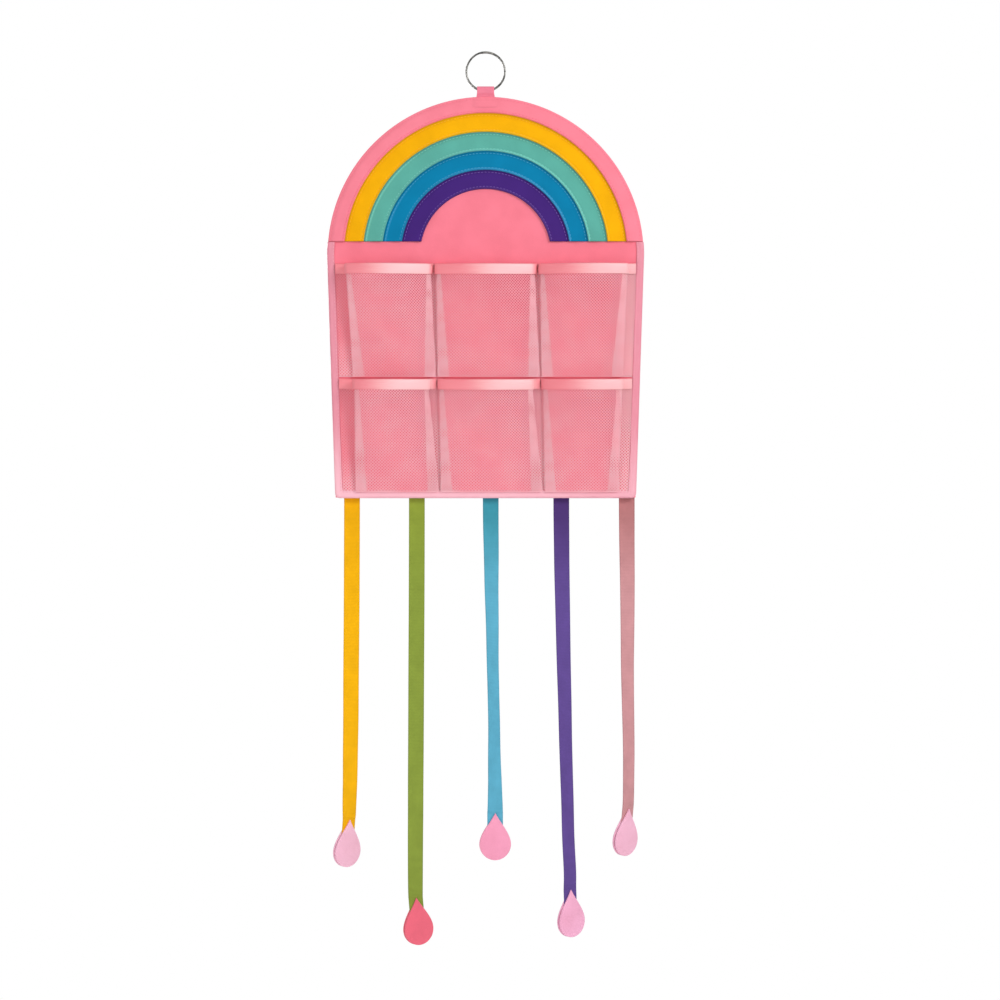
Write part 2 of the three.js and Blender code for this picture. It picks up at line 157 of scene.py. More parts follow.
def paint(red, green, blue):
    """A colour as seen in a picture, from 0 to 255, as the linear colour that a shader takes."""
    shares = [channel / 255 for channel in (red, green, blue)]
    linear = [s / 12.92 if s <= 0.04045 else ((s + 0.055) / 1.055) ** 2.4 for s in shares]
    return (*linear, 1.0)


def shade(color, factor):
    """The same colour made darker or lighter."""
    return (*[min(channel * factor, 1.0) for channel in color[:3]], 1.0)


def pale(color):
    """The same colour made lighter, as a painted highlight shows it."""
    return (*[min(HIGHLIGHT_GAIN * channel + HIGHLIGHT_LIFT, 1.0) for channel in color[:3]], 1.0)


def place_on(finish):
    """Where a point of the piece is, in metres."""
    return finish.add("ShaderNodeTexCoord", {}, {}, "Object")


def clouds(finish, place, scale, detail=2.0):
    """Soft uneven patches from 0 to 1. A larger scale makes them smaller."""
    return finish.add("ShaderNodeTexNoise", {}, {"Vector": place, "Scale": scale, "Detail": detail})


def mix(finish, share, first, second, how="MIX"):
    """One colour that goes over into another by a share from 0 to 1."""
    settings = {"data_type": "RGBA", "blend_type": how}
    return finish.add("ShaderNodeMix", settings, {0: share, 6: first, 7: second}, 2)


def emboss(finish, strength, depth, height):
    """Makes a surface look raised by a height from 0 to 1, that counts as a depth in metres."""
    finish.feed("Normal", finish.add(
        "ShaderNodeBump", {}, {"Strength": strength, "Distance": depth, "Height": height}))


print("a mid grey is", [round(channel, 3) for channel in paint(128, 128, 128)])

# %% [markdown]
# ## Light
# Plain studio light: a white surround, a soft main lamp high on the right, a weak one on the left and
# one behind, which lights the back as the other two light the front.
# The camera, and whatever reflects or lets light through, sees a white background of strength 1. All
# other light from the surround is weaker, so that the lamps can still model the folds.

# %% Surround
AMBIENT = 0.54
world = bpy.data.worlds.new("white_surround")
bpy.context.scene.world = world
world.use_nodes = True
world_nodes = world.node_tree.nodes
world_nodes.clear()
rays = world_nodes.new("ShaderNodeLightPath")
seen, seen_through = [world_nodes.new("ShaderNodeMath") for _ in range(2)]
ambient, white = [world_nodes.new("ShaderNodeBackground") for _ in range(2)]
either = world_nodes.new("ShaderNodeMixShader")
surround = world_nodes.new("ShaderNodeOutputWorld")
for larger in (seen, seen_through):
    larger.operation = "MAXIMUM"
for background, strength in ((ambient, AMBIENT), (white, 1.0)):
    background.inputs["Color"].default_value = (1, 1, 1, 1)
    background.inputs["Strength"].default_value = strength
for output, socket in (
    (rays.outputs["Is Camera Ray"], seen.inputs[0]),
    (rays.outputs["Is Glossy Ray"], seen.inputs[1]),
    (seen.outputs[0], seen_through.inputs[0]),
    (rays.outputs["Is Transmission Ray"], seen_through.inputs[1]),
    (seen_through.outputs[0], either.inputs[0]),
    (ambient.outputs[0], either.inputs[1]),
    (white.outputs[0], either.inputs[2]),
    (either.outputs[0], surround.inputs["Surface"]),
):
    world.node_tree.links.new(output, socket)
print("surround nodes:", len(world_nodes))

# %% Lamps
# A lamp's place, width and power.
LAMPS = {
    "right_softbox": ((1.25, -1.3, 0.55), 0.6, 17.2),
    "left_softbox": ((-1.1, -1.6, -0.6), 1.0, 7.7),
    "back_softbox": ((-0.6, 1.9, 0.3), 1.0, 20.0),
}
aim = Vector((0, 0, -0.3))
for name, (place, size, power) in LAMPS.items():
    lamp = bpy.data.lights.new(name, "AREA")
    lamp.shape = "DISK"
    lamp.size = size
    lamp.energy = power
    lamp_object = bpy.data.objects.new(name, lamp)
    lamp_object.location = place
    lamp_object.rotation_euler = (aim - Vector(place)).to_track_quat("-Z", "Y").to_euler()
    bpy.context.collection.objects.link(lamp_object)
    print(name, "at", place)

# %% [markdown]
# ## The bench
# Pieces are drawn in millimetres, like the frame, and scaled to metres as they leave the bench. Most
# soft pieces start as a flat grid that is bent into place, as real cloth is, and then get their
# thickness. The helpers below are what every piece needs: places along a row of points, rounded
# corners, and the last steps from a bmesh to a finished object.

# %% Bench tools
MM = 0.001


def lerp(low, high, share):
    return low + (high - low) * share


def ease(low, high, value):
    """From 0 at low to 1 at high, starting and ending gently."""
    share = min(max((value - low) / (high - low), 0), 1)
    return share * share * (3 - 2 * share)


def soften(points, rounds=2):
    """Cuts the corners of a row of points, as a fold in cloth is never quite sharp."""
    for _ in range(rounds):
        cut = [points[0]]
        for here, there in zip(points, points[1:]):
            cut += [here.lerp(there, 0.25), here.lerp(there, 0.75)]
        points = cut + [points[-1]]
    return points


def measure(points):
    """Distance along a row of points to each of them."""
    reached = [0.0]
    for here, there in zip(points, points[1:]):
        reached.append(reached[-1] + (there - here).length)
    return reached


def along(points, reached, share):
    """Point and direction a share of the way along a row of points."""
    wanted = share * reached[-1]
    i = 0
    while i < len(points) - 2 and reached[i + 1] < wanted:
        i += 1
    step = points[i + 1] - points[i]
    return points[i] + step * ((wanted - reached[i]) / step.length), step.normalized()


print("one millimetre is", MM)

# %% From drawing to piece
def flat_grid(columns, rows):
    """A flat grid from 0 to 1 both ways."""
    bm = bmesh.new()
    square = Matrix.Translation((0.5, 0.5, 0))
    bmesh.ops.create_grid(bm, x_segments=columns, y_segments=rows, size=0.5, matrix=square)
    return bm


def cloth_grid(columns, rows, bend):
    """A grid of cloth, each point put where bend(across, up) says, both from 0 to 1."""
    bm = flat_grid(columns, rows)
    for vert in bm.verts:
        vert.co = bend(vert.co.x, vert.co.y)
    return bm


def finish_piece(name, bm, finish, slot, crease=40):
    """Scales a drawn shape to metres and makes it an object with a finish."""
    bmesh.ops.scale(bm, vec=(MM, MM, MM), verts=bm.verts)
    bmesh.ops.recalc_face_normals(bm, faces=bm.faces)
    mesh = bpy.data.meshes.new(name)
    bm.to_mesh(mesh)
    bm.free()
    mesh.materials.append(finish.material)
    piece = bpy.data.objects.new(name, mesh)
    bpy.context.collection.objects.link(piece)
    return crease_edges(piece, crease)


def crease_edges(piece, crease):
    piece.data.shade_smooth()
    piece.data.set_sharp_from_angle(angle=math.radians(crease))
    return piece


def thicken(piece, thickness, edge=0.0, crease=40):
    """Gives a sheet its thickness, half to each side, and rounds its rim."""
    wall = piece.modifiers.new("wall", "SOLIDIFY")
    wall.thickness = thickness * MM
    wall.offset = 0
    if edge:
        rim = piece.modifiers.new("rim", "BEVEL")
        rim.width = edge * MM
        rim.segments = 2
        rim.limit_method = "ANGLE"
        rim.angle_limit = math.radians(60)
    depsgraph = bpy.context.evaluated_depsgraph_get()
    piece.data = bpy.data.meshes.new_from_object(piece.evaluated_get(depsgraph))
    piece.modifiers.clear()
    return crease_edges(piece, crease)


def flutter(x, z, size, seed):
    """A smooth unevenness from -1 to 1 over the panel, with humps about size millimetres wide."""
    return noise.noise(Vector((x / size, seed * 7.3, z / size)))


print("unevenness at the origin:", flutter(0, 0, 1, 0))

# %% [markdown]
# ## Floor
# The organizer hangs well clear of a plain pale floor. It is only a stage for it, not part of it. A
# little light of its own, which only the camera sees, keeps it close to the white of the surround.

# %% Floor
FLOOR_Z, FLOOR_RADIUS, FLOOR_SIDES = -1250, 1450, 96
FLOOR_GLOW = 0.08
floor_finish = Finish("pale_floor", {"Roughness": 0.9, "Specular IOR Level": 0.2})
floor_clouds = clouds(floor_finish, place_on(floor_finish), 3.0)
floor_finish.feed("Base Color", mix(
    floor_finish, floor_clouds, (0.86, 0.86, 0.86, 1), (0.9, 0.9, 0.9, 1)))
floor_seen = floor_finish.add("ShaderNodeLightPath", {}, {}, "Is Camera Ray")
floor_finish.feed("Emission Color", floor_seen * FLOOR_GLOW)
floor_finish.feed("Emission Strength", 1.0)
bm = bmesh.new()
bmesh.ops.create_circle(
    bm, cap_ends=True, segments=FLOOR_SIDES, radius=FLOOR_RADIUS,
    matrix=Matrix.Translation((0, 0, FLOOR_Z)))
floor = finish_piece("floor", bm, floor_finish, "edge_satin")
print("floor at", floor.data.vertices[0].co.z)

# %% [markdown]
# ## Split ring
# The ring is one hard wire wound into two flat turns that lie side by side, and it crosses from the
# front turn to the back one at the upper left. A screw tool would climb all the way round, but a split
# ring is flat except at the crossing. So a small circle is spun in three stretches: once round in
# front, a short crossing in which every step also moves back a little, and once round behind.

# %% Bright wire finish
wire_finish = Finish("bright_wire", {"Metallic": 1.0})
wire_place = place_on(wire_finish)
wire_smears = clouds(wire_finish, wire_place, 260.0, 3.0)
wire_grain = clouds(wire_finish, wire_place, 2600.0)
wire_finish.feed("Base Color", wire_finish.add(
    "ShaderNodeValToRGB",
    {"stops": [(0.35, paint(66, 66, 64)), (0.65, paint(148, 147, 142))]},
    {"Fac": wire_smears}))
wire_finish.feed("Roughness", wire_smears * 0.2 + wire_grain * 0.1 + 0.1)
print("wire nodes:", len(wire_finish.tree.nodes))

# %% Ring wire
RING_RADIUS = 15.25
RING_Z = -14.5
WIRE_RADIUS = 0.75
WIRE_SIDES = 14
TURN_Y = 1.0
TURN_STEPS, JOG_STEPS = 110, 24
jog_start = math.radians(165)
jog_span = math.radians(60)
centre = Vector((0, 0, RING_Z))
bm = bmesh.new()
place = Matrix.Translation(centre) @ Matrix.Rotation(-jog_start, 4, "Y")
place = place @ Matrix.Translation((RING_RADIUS, -TURN_Y, 0))
first = bmesh.ops.create_circle(bm, segments=WIRE_SIDES, radius=WIRE_RADIUS, matrix=place)
end = first["verts"] + list({edge for vert in first["verts"] for edge in vert.link_edges})


def wind(end, angle, steps, back=0.0):
    """Winds the open end of the wire on by an angle, and back by a distance."""
    turned = bmesh.ops.spin(
        bm, geom=end, cent=centre, axis=(0, -1, 0), dvec=(0, back / steps, 0),
        angle=angle, steps=steps, use_merge=False)
    return turned["geom_last"]


end = wind(end, math.tau - jog_span, TURN_STEPS)
for i in range(JOG_STEPS):
    back = 2 * TURN_Y * (ease(0, JOG_STEPS, i + 1) - ease(0, JOG_STEPS, i))
    end = wind(end, jog_span / JOG_STEPS, 1, back)
end = wind(end, math.tau - jog_span, TURN_STEPS)
bmesh.ops.remove_doubles(bm, verts=bm.verts, dist=1e-4)
bmesh.ops.holes_fill(bm, edges=bm.edges, sides=0)
ring = finish_piece("ring_wire", bm, wire_finish, "ring_steel")
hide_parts("split_ring")
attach(ring, "ring")
print("ring wire faces:", len(ring.data.polygons))

# %% [markdown]
# ## Panel cloth
# The panel and the bands are cut from a smooth, matt, slightly fuzzy cloth. A close look shows two
# things: soft clouds of lighter and darker dye, a centimetre or two wide, and a nap of fibres well
# under a millimetre. One function gives both to any colour, so that all the cloth matches. Where a
# piece carries the point attribute for painted light, its colour follows that: a painted highlight
# above 0, and painted shade below 0.

# %% Cloth finish
DYE_SCALE, PILL_SCALE, FIBRE_SCALE = 55.0, 420.0, 1500.0
NAP_DEPTH = 0.0004


def napped_cloth(name, color, nap=0.35, cloudy=0.08, sheen=0.03, shade_color=None):
    finish = Finish(name, {
        "Sheen Weight": sheen,
        "Sheen Roughness": 0.5,
        "Specular IOR Level": 0.07,
    })
    place = place_on(finish)
    wear = finish.add("ShaderNodeAttribute", {"attribute_name": "wear"}, {}, "Fac")
    dye = clouds(finish, place, DYE_SCALE, 4.0)
    fibres = clouds(finish, place, FIBRE_SCALE, 4.0)
    pills = clouds(finish, place, PILL_SCALE)
    cloth = finish.add(
        "ShaderNodeValToRGB",
        {"stops": [(0.3, shade(color, 1 - cloudy)), (0.7, shade(color, 1 + cloudy))]},
        {"Fac": dye * 0.7 + fibres * 0.3})
    # Painted shade below 0 goes towards the shade colour, and a painted highlight above 0 towards a
    # paler colour.
    deep = mix(finish, wear * -1, cloth, shade_color or shade(color, 0.55))
    finish.feed("Base Color", mix(finish, wear, deep, pale(color)))
    finish.feed("Roughness", fibres * 0.25 + 0.65)
    emboss(finish, nap, NAP_DEPTH, fibres * 0.6 + pills * 0.4)
    return finish


PINK = paint(254, 130, 148)
LOOP_PINK = paint(240, 132, 154)
# The colour that painted shade gives the panel.
DEEP_PINK = paint(206, 76, 100)
panel_finish = napped_cloth("panel_cloth", PINK, shade_color=DEEP_PINK)
loop_finish = napped_cloth("loop_cloth", LOOP_PINK)
print("panel cloth nodes:", len(panel_finish.tree.nodes))

# %% [markdown]
# ## Hanging loop
# A strip of the same cloth goes over both turns of the ring and its two ends are sewn in between the
# panel's sheets. It is bent along one path, seen from the side: up from the panel in front, out round
# the wires, and down again behind. At its foot the strip spreads a little where the seam pulls it flat.

# %% Loop strip
ARCH_RADIUS = 125.0
ARCH_TOP = -34.525
ARCH_Z = ARCH_TOP - ARCH_RADIUS
LOOP_HALF = 6.75
LOOP_PLY = 0.8
LOOP_FOOT = ARCH_TOP - 8.5
LOOP_NECK = ARCH_TOP + 0.6
LOOP_SPREAD = 0.09
SHOULDER_Z, EYE_Z = -31.6, -28.175
WIRE_GAP = 0.3
bend_radius = WIRE_RADIUS + WIRE_GAP + LOOP_PLY / 2
eye_y = TURN_Y + bend_radius
front = [
    Vector((0, -LOOP_PLY / 2, LOOP_FOOT)),
    Vector((0, -LOOP_PLY / 2, LOOP_NECK)),
    Vector((0, 0.2 - eye_y, SHOULDER_Z)),
]
top = [Vector((0, bend_radius * math.cos(a) - TURN_Y, EYE_Z + bend_radius * math.sin(a)))
       for a in [math.pi * (1 - i / 10) for i in range(6)]]
half = soften(front) + top
loop_path = half + [Vector((0, -p.y, p.z)) for p in reversed(half)]
loop_reached = measure(loop_path)


def loop_bend(across, up):
    point, _ = along(loop_path, loop_reached, up)
    spread = 1 + LOOP_SPREAD * (1 - ease(ARCH_TOP - 1, ARCH_TOP + 3.5, point.z))
    return Vector(((2 * across - 1) * LOOP_HALF * spread, point.y, point.z))


bm = cloth_grid(12, 90, loop_bend)
loop = thicken(finish_piece("loop_strip", bm, loop_finish, "loop_pink"), LOOP_PLY, 0.2)
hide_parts("hanging_loop")
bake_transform(loop)
print("loop strip is", round(loop_reached[-1], 1), "mm long")

# %% [markdown]
# ## Front and back sheets
# Both sheets have one cut: a half circle on sides that taper down to the hem. A grid is stretched row
# by row to the panel's width, in even angles round the arch and in even steps below it. Along the arch
# the two sheets are sewn together, so their rims draw in towards each other. Behind the pockets' nets
# the front is painted darker, as painted shade, most of all in the upper right of each pocket.

# %% Panel outline
HEM_Z = -351.725
HEM_HALF = 118.6
CUT_Z = -149.225


def half_width(z):
    """Half the panel's width at a height."""
    if z > ARCH_Z:
        return math.sqrt(ARCH_RADIUS**2 - (z - ARCH_Z) ** 2)
    return lerp(ARCH_RADIUS, HEM_HALF, (ARCH_Z - z) / (ARCH_Z - HEM_Z))


def rim_pull(x, z):
    """How far the seam along the arch draws the cloth in towards the middle, from 0 to 1."""
    inside = ARCH_RADIUS - math.hypot(x, max(z - ARCH_Z, 0))
    return (1 - ease(0, 5, inside)) * ease(CUT_Z - 12, CUT_Z - 2, z)


print("below the bands the panel is", round(2 * half_width(CUT_Z), 1), "mm wide")

# %% Painted shade behind the pockets
MOUTHS = {"upper": -166.525, "lower": -257.525}
POCKET_HEIGHT = 88.0
MIDDLE_WIDTH = 82.0
MIDDLE_SHIFT = 0.2
DIVIDER_LEAN = 0.026
GUSSET_IN = 14.0
GUSSET_SHADE = 0.5


def dividers(z):
    """The x of the two seams between the pockets, which lean a little to the right on their way down."""
    middle = MIDDLE_SHIFT + DIVIDER_LEAN * (MOUTHS["upper"] - z)
    return middle - MIDDLE_WIDTH / 2, middle + MIDDLE_WIDTH / 2


def net_shade(x, z):
    """How much painted shade darkens the front behind the nets, from 0 to 1."""
    edges = (-half_width(z) + GUSSET_IN, *dividers(z), half_width(z) - GUSSET_IN)
    for mouth in MOUTHS.values():
        up = (z - mouth) / POCKET_HEIGHT + 1
        # Beside the right seam the painted shade is weaker.
        if 0 <= up <= 1 and x > edges[-1]:
            return GUSSET_SHADE * ease(0, 0.7, up) * ease(1, 0.94, up)
        for left, right in zip(edges, edges[1:]):
            across = (x - left) / (right - left)
            if 0 <= up <= 1 and 0 <= across <= 1:
                return ease(0.36, 0.92, (across + up) / 2) * ease(1, 0.94, across) * ease(1, 0.94, up)
    return 0


# Prints the painted shade at a point high in the upper middle pocket.
print("dye kept high in the upper middle pocket:", round(net_shade(30, MOUTHS["upper"] - 15), 2))

# %% Front and back sheets
ARCH_ROWS = 60
SIDE_ROWS = 70
SHEET_Y, SHEET_PLY = 1.5, 1.0
SHEET_WAVE = 0.12
RIM_DRAW = 0.9
NET_SHADE_STRENGTH = 0.8


def sheet_bend(side):
    """Where the points of the front (side -1) or back (side 1) sheet lie."""
    def bend(across, up):
        rows = up * (SIDE_ROWS + ARCH_ROWS)
        if rows < SIDE_ROWS:
            z = lerp(HEM_Z, ARCH_Z, rows / SIDE_ROWS)
            half = half_width(z)
        else:
            angle = (rows - SIDE_ROWS) / ARCH_ROWS * math.pi / 2
            z = ARCH_Z + ARCH_RADIUS * math.sin(angle)
            half = ARCH_RADIUS * math.cos(angle)
        x = (2 * across - 1) * half
        wave = SHEET_WAVE * flutter(x, z, 45, side)
        return Vector((x, side * (SHEET_Y - RIM_DRAW * rim_pull(x, z)) + wave, z))
    return bend


for name, side, node in (("panel_front", -1, "front_sheet"), ("panel_back", 1, "back_sheet")):
    bm = cloth_grid(90, SIDE_ROWS + ARCH_ROWS, sheet_bend(side))
    bmesh.ops.remove_doubles(bm, verts=bm.verts, dist=1e-3)
    # Each point of the front holds the painted shade behind the nets; the back has none.
    wear = bm.verts.layers.float.new("wear")
    for vert in bm.verts:
        vert[wear] = -NET_SHADE_STRENGTH * net_shade(vert.co.x, vert.co.z) if side < 0 else 0
    sheet = thicken(finish_piece(name, bm, panel_finish, "panel_pink"), SHEET_PLY, 0.3)
    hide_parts(node)
    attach(sheet, "panel")
    print(name, "faces:", len(sheet.data.polygons))

# %% [markdown]
# ## Stiffener
# The board inside the panel keeps its frame shape. It is hidden, and gets a plain grey card finish.

# %% Card finish
card_finish = napped_cloth("grey_card", paint(216, 212, 204), nap=0.1, cloudy=0.05, sheen=0.0)
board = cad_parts["stiffener_board"]
board.material_slots[0].material = card_finish.material
print("board faces:", len(board.data.polygons))

# %% [markdown]
# ## Rainbow bands
# Each band is a soft strip sewn down along both of its edges. The bands lie like shingles: the inner
# edge of each one is turned under and stands a little above the outer edge of the next, and both edges
# are drawn down along their stitches. That cross-section is drawn once and spun round the middle of the
# arch, a little past both ends. A level cut then trims the ends as the real ones are trimmed, and the
# cut is filled. A second cut just above it only adds points, for a painted shadow line along the end.

# %% Band shape
BAND_BACK = -2.2
BAND_LOW, BAND_TOP = 0.7, 1.9
STITCH_INSET = 1.9
SEAM_DIP = 0.3
LIP_HEIGHT, LIP_INSET = 0.3, 0.9
OUTER_ROUNDING = 1.6
THINNEST = 0.12
BAND_STEPS = 150
PROFILE_STEPS = 26
END_LINE = 0.7


def bell(offset, width):
    """A smooth hump, 1 at an offset of 0."""
    return math.exp(-((offset / width) ** 2))


def band_height(inside, width, tucked):
    """Thickness of a band at a distance in from its outer edge. Its inner edge is the raised one, and
    its outer edge is rounded unless it is tucked under its neighbour."""
    to_inner = width - inside
    slope = lerp(BAND_LOW, BAND_TOP, ease(0, width, inside))
    rounding = min(1, max(to_inner, 0) / LIP_INSET) ** 0.5
    if not tucked:
        rounding *= min(1, max(inside, 0) / OUTER_ROUNDING) ** 0.5
    lip = LIP_HEIGHT * bell(to_inner - LIP_INSET, 0.6)
    seam = SEAM_DIP * bell(min(inside, to_inner) - STITCH_INSET, 0.5)
    return max((slope + lip) * rounding - seam, THINNEST)


def cut_level(bm, z, trim):
    """Cuts a shape at a height, and trims off what is below it or keeps it."""
    everything = bm.verts[:] + bm.edges[:] + bm.faces[:]
    bmesh.ops.bisect_plane(
        bm, geom=everything, plane_co=(0, 0, z), plane_no=(0, 0, -1), clear_outer=trim)


def band_mesh(outer, width, tucked):
    """A band from its outer radius inwards, as one closed pillow."""
    bm = bmesh.new()
    steps = range(PROFILE_STEPS + 1)
    top = [width * (0.5 - 0.5 * math.cos(math.pi * i / PROFILE_STEPS)) for i in steps]
    profile = [(outer - d, BAND_BACK - band_height(d, width, tucked)) for d in top]
    profile += [(outer - width, BAND_BACK), (outer - width / 2, BAND_BACK), (outer, BAND_BACK)]
    start = math.asin((CUT_Z - ARCH_Z) / outer) - 0.01
    turn = Matrix.Translation((0, 0, ARCH_Z)) @ Matrix.Rotation(-start, 4, "Y")
    verts = [bm.verts.new(turn @ Vector((r, y, 0))) for r, y in profile]
    edges = [bm.edges.new((a, b)) for a, b in zip(verts, verts[1:] + verts[:1])]
    bmesh.ops.spin(
        bm, geom=verts + edges, cent=(0, 0, ARCH_Z), axis=(0, -1, 0), dvec=(0, 0, 0),
        angle=math.pi - 2 * start, steps=BAND_STEPS, use_merge=False)
    cut_level(bm, CUT_Z, True)
    bmesh.ops.holes_fill(bm, edges=bm.edges, sides=0)
    cut_level(bm, CUT_Z + END_LINE, False)
    return bm


print("a band is", round(band_height(7, 14.6, True), 2), "mm thick, and at its seam",
      round(band_height(STITCH_INSET, 14.6, True), 2))

# %% [markdown]
# A stitch is a short, round, slightly sunken dash of thread. A squashed sphere of two dozen faces is
# enough for one, and a line of stitches follows any row of points. An operator gets slower as its bmesh
# grows, so the stitches are sewn ten at a time and then added to the piece. The thread is a little
# lighter than its band, and on the pink band a little deeper.

# %% Stitches
FRONT, BACK = Vector((0, -1, 0)), Vector((0, 1, 0))
STITCH_PITCH, STITCH_LENGTH, THREAD_RADIUS = 2.7, 1.9, 0.26
NEEDLEFUL = 10


def thread_finish(name, color):
    finish = Finish(name, {"Specular IOR Level": 0.4, "Sheen Weight": 0.2})
    ply = clouds(finish, place_on(finish), 2200.0)
    finish.feed("Base Color", mix(finish, ply, shade(color, 0.85), shade(color, 1.12)))
    finish.feed("Roughness", ply * 0.2 + 0.45)
    emboss(finish, 0.3, 0.0001, ply)
    return finish


def sew(bm, points, out):
    """Adds a line of stitches along a row of points, flat against a face that looks along out."""
    reached = measure(points)
    count = max(int(reached[-1] / STITCH_PITCH), 1)
    size = Matrix.Diagonal((STITCH_LENGTH / 2, THREAD_RADIUS, THREAD_RADIUS, 1))
    size = size @ Matrix.Rotation(math.pi / 2, 4, "Y")
    needleful = bpy.data.meshes.new("needleful")
    batch = bmesh.new()
    for i in range(count):
        centre, run = along(points, reached, (i + 0.5) / count)
        across = out.cross(run).normalized()
        turn = Matrix((run, across, run.cross(across))).transposed().to_4x4()
        bmesh.ops.create_uvsphere(
            batch, u_segments=6, v_segments=4, radius=1,
            matrix=Matrix.Translation(centre) @ turn @ size)
        if (i + 1) % NEEDLEFUL == 0 or i == count - 1:
            batch.to_mesh(needleful)
            bm.from_mesh(needleful)
            batch.clear()
    batch.free()
    bpy.data.meshes.remove(needleful)
    return count


def sew_piece(name, lines, thread, slot):
    """Stitches along each line, a row of points and where it looks, as one piece of the panel."""
    bm = bmesh.new()
    made = sum(sew(bm, points, out) for points, out in lines)
    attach(finish_piece(name, bm, thread, slot), "panel")
    print(name, "number", made)


print("stitches run every", STITCH_PITCH, "mm")

# %% Band colours, painted highlights and painted shade
# A band's width, the colours of its cloth and its thread, and how strong the painted highlight on its
# edges is.
BANDS = {
    "pink": (13.2, paint(255, 135, 153), paint(244, 118, 140), 0.0),
    "yellow": (14.6, paint(248, 178, 6), paint(252, 186, 20), 0.25),
    "teal": (14.6, paint(94, 175, 161), paint(128, 208, 194), 0.9),
    "blue": (14.6, paint(6, 127, 172), paint(70, 164, 206), 0.9),
    "purple": (14.6, paint(69, 38, 121), paint(122, 84, 172), 0.3),
}
BAND_GAP = 0.4
TUCK = 0.2
END_SHADE = 0.9
LOOP_RISE, BAND_WAVE = 0.8, 0.12
THREAD_STAND = 0.05
ARCH_POINTS = 120


def band_highlight(x, to_inner, width, lip_highlight):
    """A band's painted highlight: on its raised lip, strongest on the right, and along its outer edge on
    the left.
    """
    inner_highlight = bell(to_inner - 0.8, 0.8) * lerp(0.25, 1, ease(-70, 40, x))
    return lip_highlight * (inner_highlight + bell(to_inner - width + 1.5, 0.7) * ease(-40, -75, x))


def arch_line(radius, lie):
    """Points round the arch at a radius, at the y that lie(x, z) gives."""
    first = math.asin((CUT_Z - ARCH_Z + 1) / radius)
    angles = [lerp(first, math.pi - first, i / ARCH_POINTS) for i in range(ARCH_POINTS + 1)]
    places = [(radius * math.cos(a), ARCH_Z + radius * math.sin(a)) for a in angles]
    return [Vector((x, lie(x, z), z)) for x, z in places]


print("a seam on the pink band's outer edge has", len(arch_line(ARCH_RADIUS, rim_pull)), "points")

# %% Bands and their stitches
outer = ARCH_RADIUS
for color, (width, dye, thread_dye, lip_highlight) in BANDS.items():
    tucked = color != "pink"
    hidden = BAND_GAP + TUCK if tucked else 0
    bm = band_mesh(outer + hidden, width + hidden, tucked)
    wear = bm.verts.layers.float.new("wear")
    for vert in bm.verts:
        x, y, z = vert.co
        to_inner = math.hypot(x, z - ARCH_Z) - outer + width
        over_loop = 0 if tucked else ease(10, 7, abs(x)) * ease(LOOP_FOOT - 1.2, LOOP_FOOT + 0.6, z)
        # Painted shade: darker beside the neighbour's raised lip, on the slope of the ridge over the
        # loop's end, and in a line along the cut end. The lips get a painted highlight.
        hollow_shade = 0.35 * ease(width - 4, width, to_inner) + 0.4 * ease(width - 1, width, to_inner)
        deep = hollow_shade if tucked else 1.2 * over_loop * (1 - over_loop)
        deep += END_SHADE * ease(CUT_Z + END_LINE, CUT_Z, z)
        vert[wear] = band_highlight(x, to_inner, width, lip_highlight) - deep
        raised = (BAND_BACK - y) / BAND_TOP
        rise = LOOP_RISE * over_loop + BAND_WAVE * flutter(x, z, 9, 3)
        vert.co.y += rim_pull(x, z) - raised * rise
    band = finish_piece(f"{color}_band", bm, napped_cloth(f"{color}_cloth", dye), f"band_{color}")
    middle = outer - width / 2
    arc = middle * (math.pi - 2 * math.asin((CUT_Z - ARCH_Z) / middle))
    width * MM
    arc * MM
    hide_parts(f"band_{color}")
    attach(band, "panel")

    lines = []
    for inside in (STITCH_INSET, width + hidden - STITCH_INSET):
        top = BAND_BACK - band_height(inside, width + hidden, tucked) - THREAD_STAND
        points = arch_line(outer + hidden - inside, lambda x, z: top + rim_pull(x, z))
        lines.append((points, FRONT))
    sew_piece(
        f"{color}_band_stitches", lines, thread_finish(f"{color}_thread", thread_dye), f"band_{color}")
    outer -= width + BAND_GAP

# %% Arch seam at the back
sewn_on = SHEET_Y + SHEET_PLY / 2 + THREAD_STAND
arch_seam = arch_line(ARCH_RADIUS - STITCH_INSET, lambda x, z: sewn_on - RIM_DRAW * rim_pull(x, z))
arch_thread = thread_finish("arch_thread", paint(224, 94, 118))
sew_piece("arch_seam_stitches", [(arch_seam, BACK)], arch_thread, "panel_pink")

# %% [markdown]
# ## Satin tape
# A shiny tape is folded round the panel's sides and hem. Satin has long floating threads, so it is
# smooth one way and finely ribbed the other, and it catches light in soft streaks. The streaks follow
# the tape, so each point of a tape carries a lie: how far along and across the tape it is, in
# millimetres, and how much painted highlight it has, from 0 to 1. With painted highlight the satin
# goes pale, and the streaks also paint a soft sheen into its colour.

